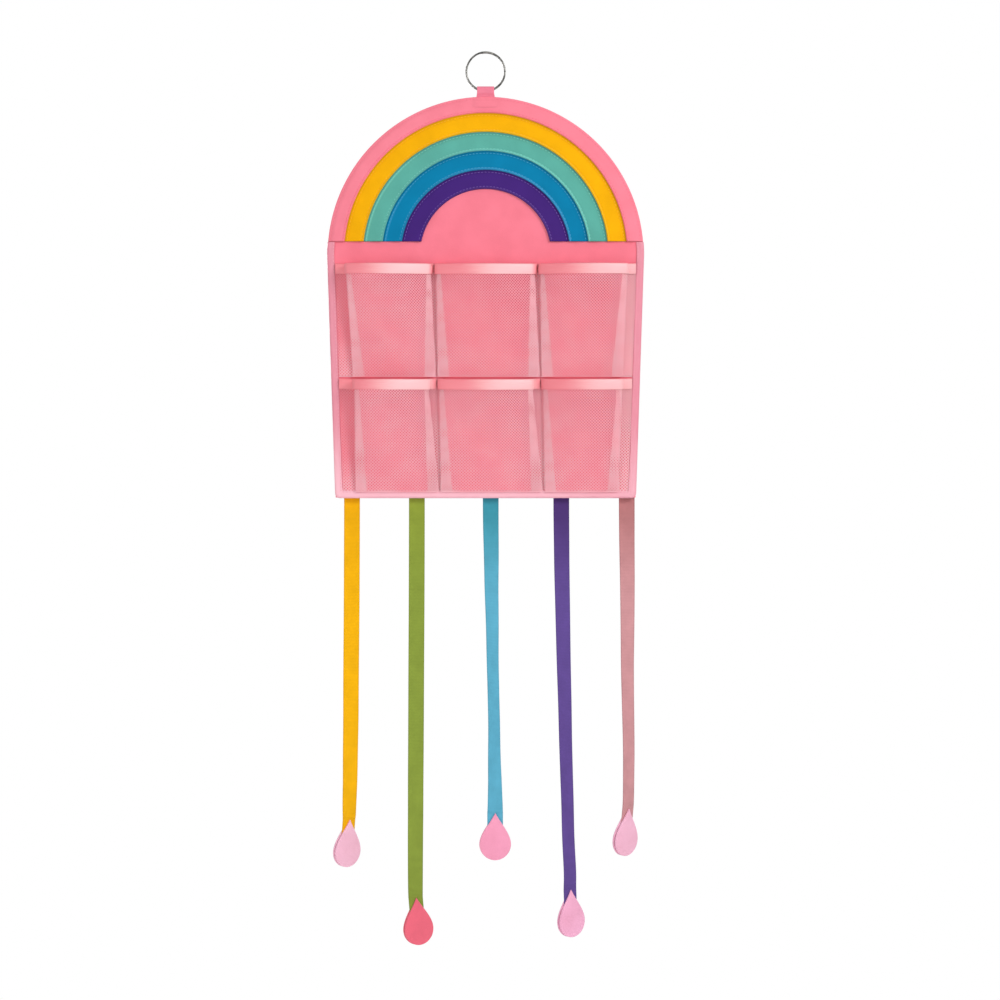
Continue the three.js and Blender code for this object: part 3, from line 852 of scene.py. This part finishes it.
# %% Satin finish
def satin(name, highlight_color, slack):
    finish = Finish(name, {
        "Specular IOR Level": 0.4,
        "Sheen Weight": 0.1,
        "Sheen Roughness": 0.35,
    })
    lie = finish.add("ShaderNodeAttribute", {"attribute_name": "lie"}, {}, "Vector")
    stretched = finish.add("ShaderNodeMapping", {}, {"Vector": lie, "Scale": (0.12, 2.2, 1)})
    streaks = clouds(finish, stretched, 1.0, 5.0)
    floats = finish.add(
        "ShaderNodeTexWave", {"bands_direction": "Y"},
        {"Vector": lie, "Scale": 0.9, "Distortion": 1.5, "Detail": 2.0}, 1)
    # The third part of the lie is painted highlight. It takes the colour from slack, the satin's colour
    # without highlight, to the pale highlight colour.
    drawn = finish.add("ShaderNodeSeparateXYZ", {}, {"Vector": lie}, 2)
    finish.feed("Base Color", finish.add(
        "ShaderNodeValToRGB", {"stops": [(0.1, slack), (0.9, highlight_color)]},
        {"Fac": drawn + streaks * 0.4 - 0.2}))
    finish.feed("Roughness", streaks * 0.22 + 0.3)
    emboss(finish, 0.25, 0.0002, streaks * 0.7 + floats * 0.3)
    return finish


def lay_grid(columns, rows, bend):
    """A cloth grid whose points keep their lie. bend(across, up) gives the point and the lie."""
    bm = flat_grid(columns, rows)
    lie = bm.verts.layers.float_vector.new("lie")
    for vert in bm.verts:
        vert.co, vert[lie] = bend(vert.co.x, vert.co.y)
    return bm


edge_finish = satin("edge_satin", paint(255, 194, 207), paint(230, 138, 157))
print("edge satin nodes:", len(edge_finish.tree.nodes))

# %% [markdown]
# The tape's path has to stay tidy at any distance from the panel's edge, also round the corners of the
# hem. So a point on it is found in two steps: which stretch it lies on (side, corner, hem, corner,
# side), and how far out of or into the panel. At the corners the tape turns about a centre that moves
# in with it, which gathers it there as a real one is gathered.

# %% Edge tape path
TAPE_FLANGE = 5.5
TAPE_FRONT = 2.55
TAPE_OUT = 0.3
TAPE_TOP = CUT_Z - 0.4
CORNER = 3.2
LEAST_CORNER = 0.8
SIDE_STEPS, CORNER_STEPS, HEM_STEPS = 64, 8, 80
STEPS = 2 * SIDE_STEPS + 2 * CORNER_STEPS + HEM_STEPS


def edge_point(step, reach):
    """A point of the panel's edge, grown by reach: down the left side, along the hem, up the right."""
    mirrored = step > STEPS / 2
    step = STEPS - step if mirrored else step
    corner = max(CORNER + reach, LEAST_CORNER)
    low = HEM_Z - reach + corner
    side = HEM_HALF + reach - corner
    if step <= SIDE_STEPS:
        z = lerp(TAPE_TOP, low, step / SIDE_STEPS)
        x = half_width(z) + reach
    elif step <= SIDE_STEPS + CORNER_STEPS:
        angle = (step - SIDE_STEPS) / CORNER_STEPS * math.pi / 2
        x, z = side + corner * math.cos(angle), low - corner * math.sin(angle)
    else:
        share = (step - SIDE_STEPS - CORNER_STEPS) / (HEM_STEPS / 2)
        x, z = lerp(side, 0, share), low - corner
    return (x if mirrored else -x), z


corner_x, corner_z = edge_point(SIDE_STEPS + CORNER_STEPS / 2, TAPE_OUT)
print("the tape's lower left corner is at", round(corner_x, 1), round(corner_z, 1))

# %% Edge tape
TAPE_WAVER, TAPE_PUFF = 0.3, 0.14
TAPE_FOLD = [(-TAPE_FLANGE, -1), (-3.6, -1), (-1.6, -1), (-0.2, -0.92), (0.75, -0.55), (1.0, 0.0)]
TAPE_FOLD += [(reach, -depth) for reach, depth in reversed(TAPE_FOLD[:-1])]
fold_line = soften([Vector((reach, depth * TAPE_FRONT, 0)) for reach, depth in TAPE_FOLD], 1)
fold_reached = measure(fold_line)
tape_length = 2 * (TAPE_TOP - HEM_Z) + 2 * HEM_HALF


def tape_bend(across, up):
    step = across * STEPS
    fold, _ = along(fold_line, fold_reached, up)
    reach = fold.x * TAPE_OUT if fold.x > 0 else fold.x + TAPE_WAVER * flutter(step, up * 3, 6, 5)
    x, z = edge_point(step, reach)
    puff = TAPE_PUFF * flutter(step * 2, fold.y * 3, 7, 8)
    # Painted highlight near the hem, weaker towards the right, and painted shade on the tape's
    # turned-round outer edge.
    low = ease(HEM_Z + 70, HEM_Z + 4, z) * lerp(1, 0.6, ease(0, 116, x))
    drawn = 0.2 + 0.65 * low - 0.2 * ease(-2, 0.5, fold.x)
    return Vector((x, fold.y + puff, z)), Vector((across * tape_length, up * fold_reached[-1], drawn))


bm = lay_grid(STEPS, 24, tape_bend)
tape = thicken(finish_piece("edge_tape_satin", bm, edge_finish, "edge_satin"), 0.55, 0.12)
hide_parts("edge_tape")
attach(tape, "panel")
print("edge tape is", round(tape_length), "mm long and", round(fold_reached[-1], 1), "mm wide")

# %% Edge tape stitches
TAPE_SEAM_INSET = 1.1
TAPE_SEAM_OUT = TAPE_FRONT + 0.32
lines = []
for face, out in ((-1, FRONT), (1, BACK)):
    places = [edge_point(i / 4, TAPE_SEAM_INSET - TAPE_FLANGE) for i in range(4 * STEPS + 1)]
    lines.append(([Vector((x, face * TAPE_SEAM_OUT, z)) for x, z in places], out))
edge_thread = thread_finish("edge_thread", paint(244, 170, 184))
sew_piece("edge_tape_stitches", lines, edge_thread, "edge_satin")

# %% [markdown]
# ## Net pockets
# Each pocket is one flat piece of net, wider than the place it is sewn to. Its sides fold under in
# pleats that lie shut at the bottom and open into gussets at the mouth. So the net is described by its
# run across the panel at each height: seam, fold, pleat edge, bowed front, and the same mirrored. The
# mouth also hangs a little lower in its middle than at its seams.

# %% Pocket runs
MOUTH_TAPE_HEIGHT = 8.4
DIVIDER_HALF_GAP = 0.4
EDGE_CLEARANCE = TAPE_FLANGE + 0.4
# A gusset's width at the bottom of its pocket and at the mouth.
SIDE_GUSSETS = {
    "left": {"upper": (11.0, 8.8), "lower": (10.0, 12.2)},
    "right": {"upper": (7.4, 7.1), "lower": (7.4, 8.4)},
}
DIVIDER_GUSSETS = (0.4, 1.2)
SIDE_DEPTH, DIVIDER_DEPTH = 11.0, 3.6
MOUTH_SPREAD = {"upper": 1.0, "lower": 5.0}


def openness(row, z):
    """How far the pleats are open at a height, from 0 at the bottom to 1 at the mouth."""
    bottom = MOUTHS[row] - POCKET_HEIGHT
    return min(max((z - bottom) / (POCKET_HEIGHT - MOUTH_TAPE_HEIGHT), 0), 1)


def side_pleats(row, column, z):
    """A pocket's left and right pleat: its seam's x at a height, its gusset, spread and depth."""
    edge = half_width(z) - EDGE_CLEARANCE
    first, second = dividers(z)
    left, right = {
        "left": (-edge, first - DIVIDER_HALF_GAP),
        "middle": (first + DIVIDER_HALF_GAP, second - DIVIDER_HALF_GAP),
        "right": (second + DIVIDER_HALF_GAP, edge),
    }[column]
    opened = openness(row, z)
    divider = lerp(*DIVIDER_GUSSETS, opened)
    left_pleat = (left, divider, 0, DIVIDER_DEPTH)
    right_pleat = (right, divider, MOUTH_SPREAD[row], DIVIDER_DEPTH)
    if column == "left":
        left_pleat = (left, lerp(*SIDE_GUSSETS[column][row], opened), 0, SIDE_DEPTH)
    if column == "right":
        right_pleat = (right, lerp(*SIDE_GUSSETS[column][row], opened), 0, SIDE_DEPTH)
    return left_pleat, right_pleat


_, mouth_gusset, _, _ = side_pleats("upper", "left", MOUTHS["upper"])[0]
print("at its mouth, the upper left gusset is", mouth_gusset, "mm wide")

# %% Net runs
PLEAT_OVERLAP, OPEN_OVERLAP = 9.0, 3.5
FOLD_STEP, OPEN_FOLD = 1.0, 1.7
SEAM_FLAT = 1.2
SEAM_OUT, OPEN_SEAM_OUT = 2.5, 3.2
MOUTH_BOW = 10.0
MOUTH_SAG = 1.3
BOW_STEPS = 12


def arched(share):
    """From 0 at both ends to 1 in the middle."""
    return 4 * share * (1 - share)


def net_run(row, column, z):
    """The net's run from seam to seam at a height, as points in x and y."""
    opened = openness(row, z)
    left, right = side_pleats(row, column, z)
    seam_y = -lerp(SEAM_OUT, OPEN_SEAM_OUT, opened)
    step = lerp(FOLD_STEP, OPEN_FOLD, opened)

    def pleat(side, seam, gusset, spread, open_depth):
        depth = lerp(2 * FOLD_STEP, open_depth, opened)
        slack = depth - 2 * step
        edge = seam + side * (gusset + spread * opened)
        fold = edge + side * lerp(PLEAT_OVERLAP, OPEN_OVERLAP, opened)
        return [
            Vector((seam, seam_y, 0)),
            Vector((seam + side * SEAM_FLAT, seam_y, 0)),
            Vector((fold, seam_y - 0.3 * slack, 0)),
            Vector((fold, seam_y - 0.3 * slack - step, 0)),
            Vector((edge, seam_y - 0.7 * slack - step, 0)),
            Vector((edge, seam_y - depth, 0)),
        ]

    start = pleat(1, *left)
    stop = pleat(-1, *right)[::-1]
    shares = [i / BOW_STEPS for i in range(1, BOW_STEPS)]
    bows = [Vector((0, MOUTH_BOW * opened * arched(share), 0)) for share in shares]
    front = [start[-1].lerp(stop[0], share) - bow for share, bow in zip(shares, bows)]
    return soften(start + front + stop, 1)


sample = measure(net_run("upper", "left", MOUTHS["upper"] - 40))[-1]
print("halfway down, the upper left net is", round(sample, 1), "mm from seam to seam")

# %% [markdown]
# The net's holes are diamonds about 2.3 mm wide. Poking every square of a grid puts a point in its
# middle, and dissolving the old edges leaves the diagonals: a grid of diamonds. It is bent into the
# pocket's shape first, and the wireframe operator then turns its edges into thread. Where a pleat
# doubles the net, the layers really lie over each other and look denser. The net's colour also carries
# painted light: a painted highlight along the pleats, in the right gussets and low in the others, and
# painted shade on most of the fronts and high in the left gussets. A value at each point says how
# much. Below its seam the net runs on as a narrow hem.

# %% Net thread finish
net_finish = Finish("net_thread", {
    "Specular IOR Level": 0.3,
    "Sheen Weight": 0.05,
})
net_clouds = clouds(net_finish, place_on(net_finish), 70.0, 3.0)
net_light = net_finish.add("ShaderNodeAttribute", {"attribute_name": "wear"}, {}, "Fac")
net_color = mix(net_finish, net_clouds, paint(255, 156, 172), paint(255, 196, 206))
# Painted shade goes towards a deep pink, and a painted highlight towards a pale pink.
net_color = mix(net_finish, net_light * -1, net_color, paint(255, 104, 126))
net_finish.feed("Base Color", mix(net_finish, net_light, net_color, paint(255, 218, 224)))
net_finish.feed("Roughness", net_clouds * 0.2 + 0.4)
print("net thread nodes:", len(net_finish.tree.nodes))

# %% Net painted light and shade
NET_FRONT_SHADE = {
    ("upper", "left"): 0.05, ("upper", "middle"): 0.22, ("upper", "right"): 0.15,
    ("lower", "left"): 0.0, ("lower", "middle"): 0.05, ("lower", "right"): 0.05,
}
PLEAT_LIGHT = 0.3
LEFT_GUSSET_LIGHT, RIGHT_GUSSET_LIGHT, DIVIDER_LIGHT = (0.4, -0.3), 0.7, (0.8, 0.1)


def net_painted_light(row, column, x, z):
    """The net's painted light at a point: a painted highlight above 0, painted shade below 0. A pair of
    values belongs to the bottom and the open part above it.
    """
    opened = openness(row, z)
    left, right = side_pleats(row, column, z)
    for side, (seam, gusset, spread, _) in ((1, left), (-1, right)):
        inside = side * (x - seam) - gusset - spread * opened
        if 0 <= inside <= lerp(PLEAT_OVERLAP, OPEN_OVERLAP, opened):
            return PLEAT_LIGHT
        if inside < 0 and column == "left" and side == 1:
            return lerp(*LEFT_GUSSET_LIGHT, ease(0.02, 0.4, opened))
        if inside < 0 and column == "right" and side == -1:
            return RIGHT_GUSSET_LIGHT
        if inside < 0:
            return lerp(*DIVIDER_LIGHT, opened)
    return -NET_FRONT_SHADE[row, column] * ease(0.05, 0.4, opened)


# Prints the painted light in the middle of the upper middle net.
print("wear in the middle of the upper middle net:", net_painted_light("upper", "middle", 0, MOUTHS["upper"]))

# %% Pocket nets
NET_HOLE = 2.35
NET_THREAD = 0.36
NET_TOP = 0.8
NET_HEM = 1.5
NET_ROWS = 38
NET_RIPPLE = 0.5


def net_mesh(row, column):
    """A pocket's net as thread, and the net's width halfway up."""
    bottom, mouth = MOUTHS[row] - POCKET_HEIGHT - NET_HEM, MOUTHS[row] - NET_TOP
    runs = {}

    def bend(across, up):
        z = lerp(bottom, mouth, up)
        level = round(up * NET_ROWS * 2)
        if level not in runs:
            points = net_run(row, column, z)
            runs[level] = points, measure(points)
        point, _ = along(*runs[level], across)
        ripple = NET_RIPPLE * up * ease(-3, -9, point.y) * flutter(point.x, z, 16, 11)
        return Vector((point.x, point.y + ripple, z - MOUTH_SAG * arched(across) * up ** 2))

    middle = measure(net_run(row, column, (bottom + mouth) / 2))[-1]
    bm = flat_grid(round(middle / NET_HOLE), NET_ROWS)
    squares = [edge for edge in bm.edges if not edge.is_boundary]
    bmesh.ops.poke(bm, faces=bm.faces[:])
    bmesh.ops.dissolve_edges(bm, edges=squares)
    for vert in bm.verts:
        vert.co = bend(vert.co.x, vert.co.y)
    # The threads come out half as thick as the operator is told.
    bmesh.ops.wireframe(
        bm, faces=bm.faces[:], thickness=2 * NET_THREAD, use_replace=True, use_boundary=True)
    # Each point holds its painted highlight or painted shade.
    wear = bm.verts.layers.float.new("wear")
    for vert in bm.verts:
        vert[wear] = net_painted_light(row, column, vert.co.x, vert.co.z)
    return bm, middle


def open_with_pocket(piece):
    """Bakes a piece's place into its points, where it stays."""
    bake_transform(piece)


POCKETS = [(row, column) for row in MOUTHS for column in ("left", "middle", "right")]
for row, column in POCKETS:
    bm, width = net_mesh(row, column)
    net = finish_piece(f"{row}_{column}_net", bm, net_finish, "net_pink")
    width * MM
    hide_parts(f"net_{row}_{column}")
    open_with_pocket(net)
    print(row, column, "net has", len(net.data.polygons), "faces")

# %% [markdown]
# ## Mouth tapes
# A narrow satin tape is folded over the top edge of each net. It follows the net's run at the mouth, a
# little outside it in front and behind, and its front swells slightly between fold and edge, which
# gives satin its long highlight. A painted highlight in its colour adds to that: pale on the right part
# of each tape, weaker in the pockets further right.

# %% Mouth tapes
mouth_finish = satin("mouth_satin", paint(255, 197, 200), paint(246, 136, 146))
MOUTH_FOLD = [(-0.72, -8.4), (-1.05, -6.4), (-1.1, -3.4), (-0.95, -1.0), (-0.45, -0.25),
              (0.45, -0.25), (0.8, -1.2), (0.8, -4.5), (0.72, -8.4)]
mouth_line = soften([Vector((reach, 0, drop)) for reach, drop in MOUTH_FOLD], 1)
mouth_reached = measure(mouth_line)
SLIGHT = 0.004
UNEVEN = 0.015
LEAST_HIGHLIGHT = 0.1
HIGHLIGHT_LEFT, HIGHLIGHT_RIGHT = 0.85, 0.64


def mouth_bend(row, column):
    run = net_run(row, column, MOUTHS[row] - 1)
    reached = measure(run)

    def bend(across, up):
        point, before, after = [
            along(run, reached, min(max(across + move, 0), 1))[0] for move in (0, -SLIGHT, SLIGHT)]
        way = (after - before).normalized()
        fold, _ = along(mouth_line, mouth_reached, up)
        drop = fold.z * (1 + UNEVEN * flutter(point.x, 0, 14, 13)) - MOUTH_SAG * arched(across)
        spot = Vector((point.x - way.y * fold.x, point.y + way.x * fold.x, MOUTHS[row] + drop))
        # Painted highlight: little at the left of each tape, full on its right part, weaker in the
        # pockets further right, and less where the tape turns down at a divider.
        brightest = lerp(HIGHLIGHT_LEFT, HIGHLIGHT_RIGHT, ease(-60, 110, point.x))
        share = (point.x - run[0].x) / (run[-1].x - run[0].x)
        turned = 0 if column == "right" else ease(0.93, 0.98, share)
        drawn = LEAST_HIGHLIGHT + brightest * ease(0.2, 0.66, share) * (1 - 0.8 * turned)
        return spot, Vector((across * reached[-1], up * mouth_reached[-1], drawn))
    return bend, reached[-1]


for row, column in POCKETS:
    bend, length = mouth_bend(row, column)
    bm = lay_grid(110, 20, bend)
    tape = thicken(finish_piece(f"{row}_{column}_mouth", bm, mouth_finish, "mouth_satin"), 0.35, 0.1)
    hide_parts(f"mouth_tape_{row}_{column}")
    open_with_pocket(tape)
    print(row, column, "mouth tape is", round(length, 1), "mm long")

# %% [markdown]
# ## Pocket seams
# The nets are sewn down along their bottoms and, between neighbours, along two dividing seams. Both
# are plain lines of pink thread.

# %% Seam stitches
DIVIDER_SEAM_Y, BOTTOM_SEAM_Y = -2.75, -2.3
BOTTOM_SEAM_DROP = 0.6
ends = []
for mouth in MOUTHS.values():
    high, low = mouth - 1, mouth - POCKET_HEIGHT
    for top_x, bottom_x in zip(dividers(high), dividers(low)):
        ends.append(((top_x, DIVIDER_SEAM_Y, high), (bottom_x, DIVIDER_SEAM_Y, low)))
for mouth in MOUTHS.values():
    z = mouth - POCKET_HEIGHT - BOTTOM_SEAM_DROP
    edge = half_width(z) - EDGE_CLEARANCE
    ends.append(((-edge, BOTTOM_SEAM_Y, z), (edge, BOTTOM_SEAM_Y, z)))
lines = [([Vector(start), Vector(stop)], FRONT) for start, stop in ends]
pocket_thread = thread_finish("pocket_thread", paint(255, 170, 184))
sew_piece("pocket_seam_stitches", lines, pocket_thread, "panel_pink")

# %% [markdown]
# ## Ribbons
# Five ribbons are sewn to the back of the hem and hang free. The upper end of each lies over the edge
# tape and down on the back sheet, where a row of stitches holds it. From the hem it falls in one curve
# to the tip of its drop and turns a little about its own length on the way. The ribbon is ribbed
# across, so its finish reads the same lie along and across the ribbon as the satin does. Just below the
# hem most of the ribbons are painted darker, as painted shade, so each has two colours. Some of the
# ribbons have faded below the hem, which covered their tops, so each has two dyes.

# %% Ribbon finish
RIBBON_TUCK = 10.0
RIB_SCALE = 0.34
SELVEDGE_IN, SELVEDGE_OUT = 5.2, 6.1
HEM_SHADE_LENGTH = 75.0


def climb(finish, value, low, high):
    """A value that goes gently from 0 to 1 as another goes from low to high."""
    return finish.add(
        "ShaderNodeMapRange", {"interpolation_type": "SMOOTHSTEP"},
        {"Value": value, "From Min": low, "From Max": high})


def ribbed(name, color, hem_shade_color):
    finish = Finish(name, {
        "Specular IOR Level": 0.09,
        "Sheen Weight": 0.04,
        "Sheen Roughness": 0.4,
    })
    lie = finish.add("ShaderNodeAttribute", {"attribute_name": "lie"}, {}, "Vector")
    down, across = [finish.add("ShaderNodeSeparateXYZ", {}, {"Vector": lie}, axis) for axis in (0, 1)]
    ribs = finish.add(
        "ShaderNodeTexWave", {"bands_direction": "X"},
        {"Vector": lie, "Scale": RIB_SCALE, "Distortion": 0.6, "Detail": 1.0}, 1)
    worn = clouds(finish, lie, 0.09, 5.0)
    off_middle = finish.add("ShaderNodeMath", {"operation": "ABSOLUTE"}, {0: across})
    selvedge = climb(finish, off_middle, SELVEDGE_IN, SELVEDGE_OUT)
    # Painted shade: darker just below the hem, going over into the ribbon's own colour further down.
    hem_shaded = climb(finish, down, RIBBON_TUCK, RIBBON_TUCK + HEM_SHADE_LENGTH)
    dye = mix(finish, hem_shaded, hem_shade_color, color)
    tone = worn * 0.32 + ribs * 0.1 + 0.79 - selvedge * 0.15
    finish.feed("Base Color", mix(finish, 1.0, dye, tone, "MULTIPLY"))
    finish.feed("Roughness", ribs * 0.15 + 0.55)
    emboss(finish, 0.4, 0.0003, ribs * 0.8 + worn * 0.2)
    return finish


# A Wave texture of scale 1 has a rib every tau / 20.
print("ribs are about", round(math.tau / 20 / RIB_SCALE, 2), "mm apart")

# %% Ribbon paths
RIBBON_Y = 3.35
RIBBON_HALF = 6.25
RIBBON_TOP = HEM_Z - 0.9
RIBBON_IN_DROP = 16.0
TAPE_STEP = 1.0
STRAIGHT_PULL = 10.0
# A strand's place on the hem, drift and length of its fall, lean of its drop, twist and turn.
STRANDS = {
    "yellow": (-0.894, -0.19, 254.7, 4, -6, 42),
    "green": (-0.46, -0.08, 316.5, -5, -3, 28),
    "blue": (0.034, 0.28, 249.2, 0, 40, 8),
    "purple": (0.506, 0.55, 310.2, -2, 16, 36),
    "rose": (0.944, 0.07, 245.9, 5, 14, 43),
}


def ribbon_step(at):
    """How far a ribbon steps in from the hem's tape to the back sheet. Over a side's tape it doesn't."""
    return TAPE_STEP if abs(at) * HEM_HALF + RIBBON_HALF < HEM_HALF - TAPE_FLANGE else 0.0


def standing(up, face):
    """Across and out of a ribbon or drop that runs along up and is turned by face degrees."""
    level = Vector((1, 0, 0)) - up * up.x
    across = Matrix.Rotation(math.radians(face), 3, up) @ level.normalized()
    return across, across.cross(up)


def strand_ends(at, drift, length, lean):
    hem = Vector((at * HEM_HALF, RIBBON_Y, RIBBON_TOP))
    tip = Vector((hem.x + drift * 2 * RIBBON_HALF, RIBBON_Y, RIBBON_TOP - length))
    up = Vector((math.sin(math.radians(lean)), 0, math.cos(math.radians(lean))))
    return hem, tip, up


def bezier(a, b, c, d, share):
    """The point a share of the way along a curve from a to d, steered by b and c."""
    rest = 1 - share
    return a * rest**3 + b * 3 * rest**2 * share + c * 3 * rest * share**2 + d * share**3


def fall(hem, tip, up, length, share):
    """A ribbon's middle at a share of its free length, and its upward direction there."""
    a, b, c, d = hem, hem - Vector((0, 0, length / 3)), tip + up * STRAIGHT_PULL, tip
    rest = 1 - share
    slope = (b - a) * 3 * rest**2 + (c - b) * 6 * rest * share + (d - c) * 3 * share**2
    return bezier(a, b, c, d, share), -slope.normalized()


print("the longest strand hangs", max(strand[2] for strand in STRANDS.values()), "mm below the hem")

# %% Ribbon bend
STEP_FROM, STEP_TO = 5.4, 2.4
RIBBON_CUP, RIBBON_WAVE = 0.45, 0.7


def ribbon_bend(at, drift, length, lean, twist, face):
    hem, tip, up = strand_ends(at, drift, length, lean)
    total = RIBBON_TUCK + length + RIBBON_IN_DROP

    def bend(across, down):
        reached = down * total
        if reached < RIBBON_TUCK:
            step = ribbon_step(at) * ease(STEP_FROM, STEP_TO, reached)
            point, way, turn = hem + Vector((0, -step, RIBBON_TUCK - reached)), Vector((0, 0, 1)), 0.0
        elif reached < RIBBON_TUCK + length:
            share = (reached - RIBBON_TUCK) / length
            point, way = fall(hem, tip, up, length, share)
            turn = twist * math.sin(math.pi * share) + face * share
        else:
            point, way, turn = tip - up * (reached - RIBBON_TUCK - length), up, face
        side, out = standing(way, turn)
        width = (2 * across - 1) * RIBBON_HALF
        free = ease(RIBBON_TUCK, RIBBON_TUCK + 40, reached) * ease(total - 16, total - 50, reached)
        wave = RIBBON_WAVE * flutter(at * 90, reached, 34, 17)
        cup = free * (RIBBON_CUP * (width / RIBBON_HALF) ** 2 + wave)
        return point + side * width + out * cup, Vector((reached, width, 0))
    return bend, total


for color, strand in STRANDS.items():
    lower_end, _ = ribbon_bend(*strand)[0](0.5, 1)
    print(color, "ribbon ends at", [round(v, 1) for v in lower_end])

# %% Ribbons
# A ribbon's own colour far below the hem, and its colour at the hem with painted shade.
RIBBON_COLORS = {
    "yellow": (paint(248, 182, 8), paint(240, 174, 8)),
    "green": (paint(138, 156, 62), paint(142, 158, 58)),
    "blue": (paint(97, 178, 206), paint(60, 148, 166)),
    "purple": (paint(99, 76, 148), paint(77, 52, 114)),
    "rose": (paint(209, 150, 154), paint(184, 120, 121)),
}
for color, strand in STRANDS.items():
    bend, total = ribbon_bend(*strand)
    bm = lay_grid(10, 150, bend)
    finish = ribbed(f"{color}_ribbed", *RIBBON_COLORS[color])
    ribbon = thicken(finish_piece(f"{color}_ribbon", bm, finish, f"ribbon_{color}"), 0.45, 0.1)
    total * MM
    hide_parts(f"ribbon_{color}")
    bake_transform(ribbon)
    print(color, "ribbon is", round(total, 1), "mm long")

# %% Ribbon tacks
TACK_INSET, TACK_OUT, TACK_MARGIN = 1.6, 0.3, 0.6
tack_z = RIBBON_TOP + RIBBON_TUCK - TACK_INSET
reach = Vector((RIBBON_HALF - TACK_MARGIN, 0, 0))
lines = []
for at, *_ in STRANDS.values():
    middle = Vector((at * HEM_HALF, RIBBON_Y + TACK_OUT - ribbon_step(at), tack_z))
    lines.append(([middle - reach, middle + reach], BACK))
seam_thread = thread_finish("seam_thread", paint(240, 122, 142))
sew_piece("ribbon_tack_stitches", lines, seam_thread, "panel_pink")

# %% [markdown]
# ## Felt drops
# Two felt drops are glued face to face round the end of each ribbon. A circle is pulled into a drop's
# outline, with a straight run to its tip, filled, extruded to the felt's thickness and rounded a little
# along its cut edges. Felt is a mat of fibres, so it gets the cloth's finish with a much stronger nap.

# %% Drop shape
DROP_HALF = 12.5
DROP_LENGTH = 37.5
FELT = 1.6
FELT_ROUNDING = 0.38
LAYER_GAP = 0.45
DROP_POINTS = 72
SIDE_POINTS = 24


def drop_outline():
    """Outline of a drop with its tip at the origin, drawn flat."""
    centre = DROP_HALF - DROP_LENGTH
    tip, pull = Vector((0, 0, 0)), Vector((-DROP_HALF / 3, centre / 3, 0))
    swell, waist = Vector((-DROP_HALF, 2 * centre / 3, 0)), Vector((-DROP_HALF, centre, 0))
    side = [bezier(tip, pull, swell, waist, i / SIDE_POINTS) for i in range(SIDE_POINTS + 1)]
    angles = [math.pi * (1 + i / SIDE_POINTS) for i in range(1, SIDE_POINTS)]
    round_end = [
        Vector((DROP_HALF * math.cos(a), centre + DROP_HALF * math.sin(a), 0)) for a in angles]
    return side + round_end + [Vector((-p.x, p.y, 0)) for p in reversed(side)]


outline = drop_outline()
outline_reached = measure(outline)


def drop_mesh(place):
    bm = bmesh.new()
    bmesh.ops.create_circle(bm, segments=DROP_POINTS, radius=1)
    ordered = sorted(bm.verts, key=lambda vert: math.atan2(vert.co.y, vert.co.x))
    for i, vert in enumerate(ordered):
        spot, _ = along(outline, outline_reached, i / DROP_POINTS)
        vert.co = (spot.x, 0, spot.y)
    face = bmesh.ops.contextual_create(bm, geom=bm.edges[:])["faces"]
    thick = bmesh.ops.extrude_face_region(bm, geom=face)["geom"]
    moved = [item for item in thick if isinstance(item, bmesh.types.BMVert)]
    bmesh.ops.translate(bm, vec=(0, -FELT, 0), verts=moved)
    bmesh.ops.recalc_face_normals(bm, faces=bm.faces)
    rims = [edge for edge in bm.edges if abs(edge.verts[0].co.y - edge.verts[1].co.y) < 1e-6]
    bmesh.ops.bevel(
        bm, geom=rims, offset=FELT_ROUNDING, segments=3, profile=0.5, affect="EDGES", material=-1)
    bmesh.ops.transform(bm, matrix=place, verts=bm.verts)
    return bm


print("a drop's outline is", round(outline_reached[-1], 1), "mm round")

# %% Felt drops
FELTS = {
    "yellow": ("felt_pale_pink", paint(254, 190, 212)),
    "green": ("felt_deep_pink", paint(239, 106, 126)),
    "blue": ("felt_mid_pink", paint(253, 160, 190)),
    "purple": ("felt_pale_pink", paint(254, 178, 209)),
    "rose": ("felt_pale_pink", paint(254, 187, 211)),
}
for color, (at, drift, length, lean, _, face) in STRANDS.items():
    hem, tip, up = strand_ends(at, drift, length, lean)
    across, out = standing(up, face)
    hanging = Matrix((across, -out, up)).transposed().to_4x4()
    felt_slot, felt_dye = FELTS[color]
    felt_finish = napped_cloth(f"{color}_felt", felt_dye, nap=0.8, cloudy=0.1, sheen=0.3)
    for layer, back in (("front", -LAYER_GAP), ("back", LAYER_GAP + FELT)):
        place = Matrix.Translation(tip) @ hanging @ Matrix.Translation((0, back, 0))
        drop = finish_piece(f"{color}_drop_{layer}", drop_mesh(place), felt_finish, felt_slot)
        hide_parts(f"drop_{color}_{layer}")
        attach(drop, f"strand_{color}")
    print(color, "drop tip at", [round(v, 1) for v in tip])

# %% [markdown]
# ## Last step
# The view layer is brought up to date.

# %% Update
bpy.context.view_layer.update()
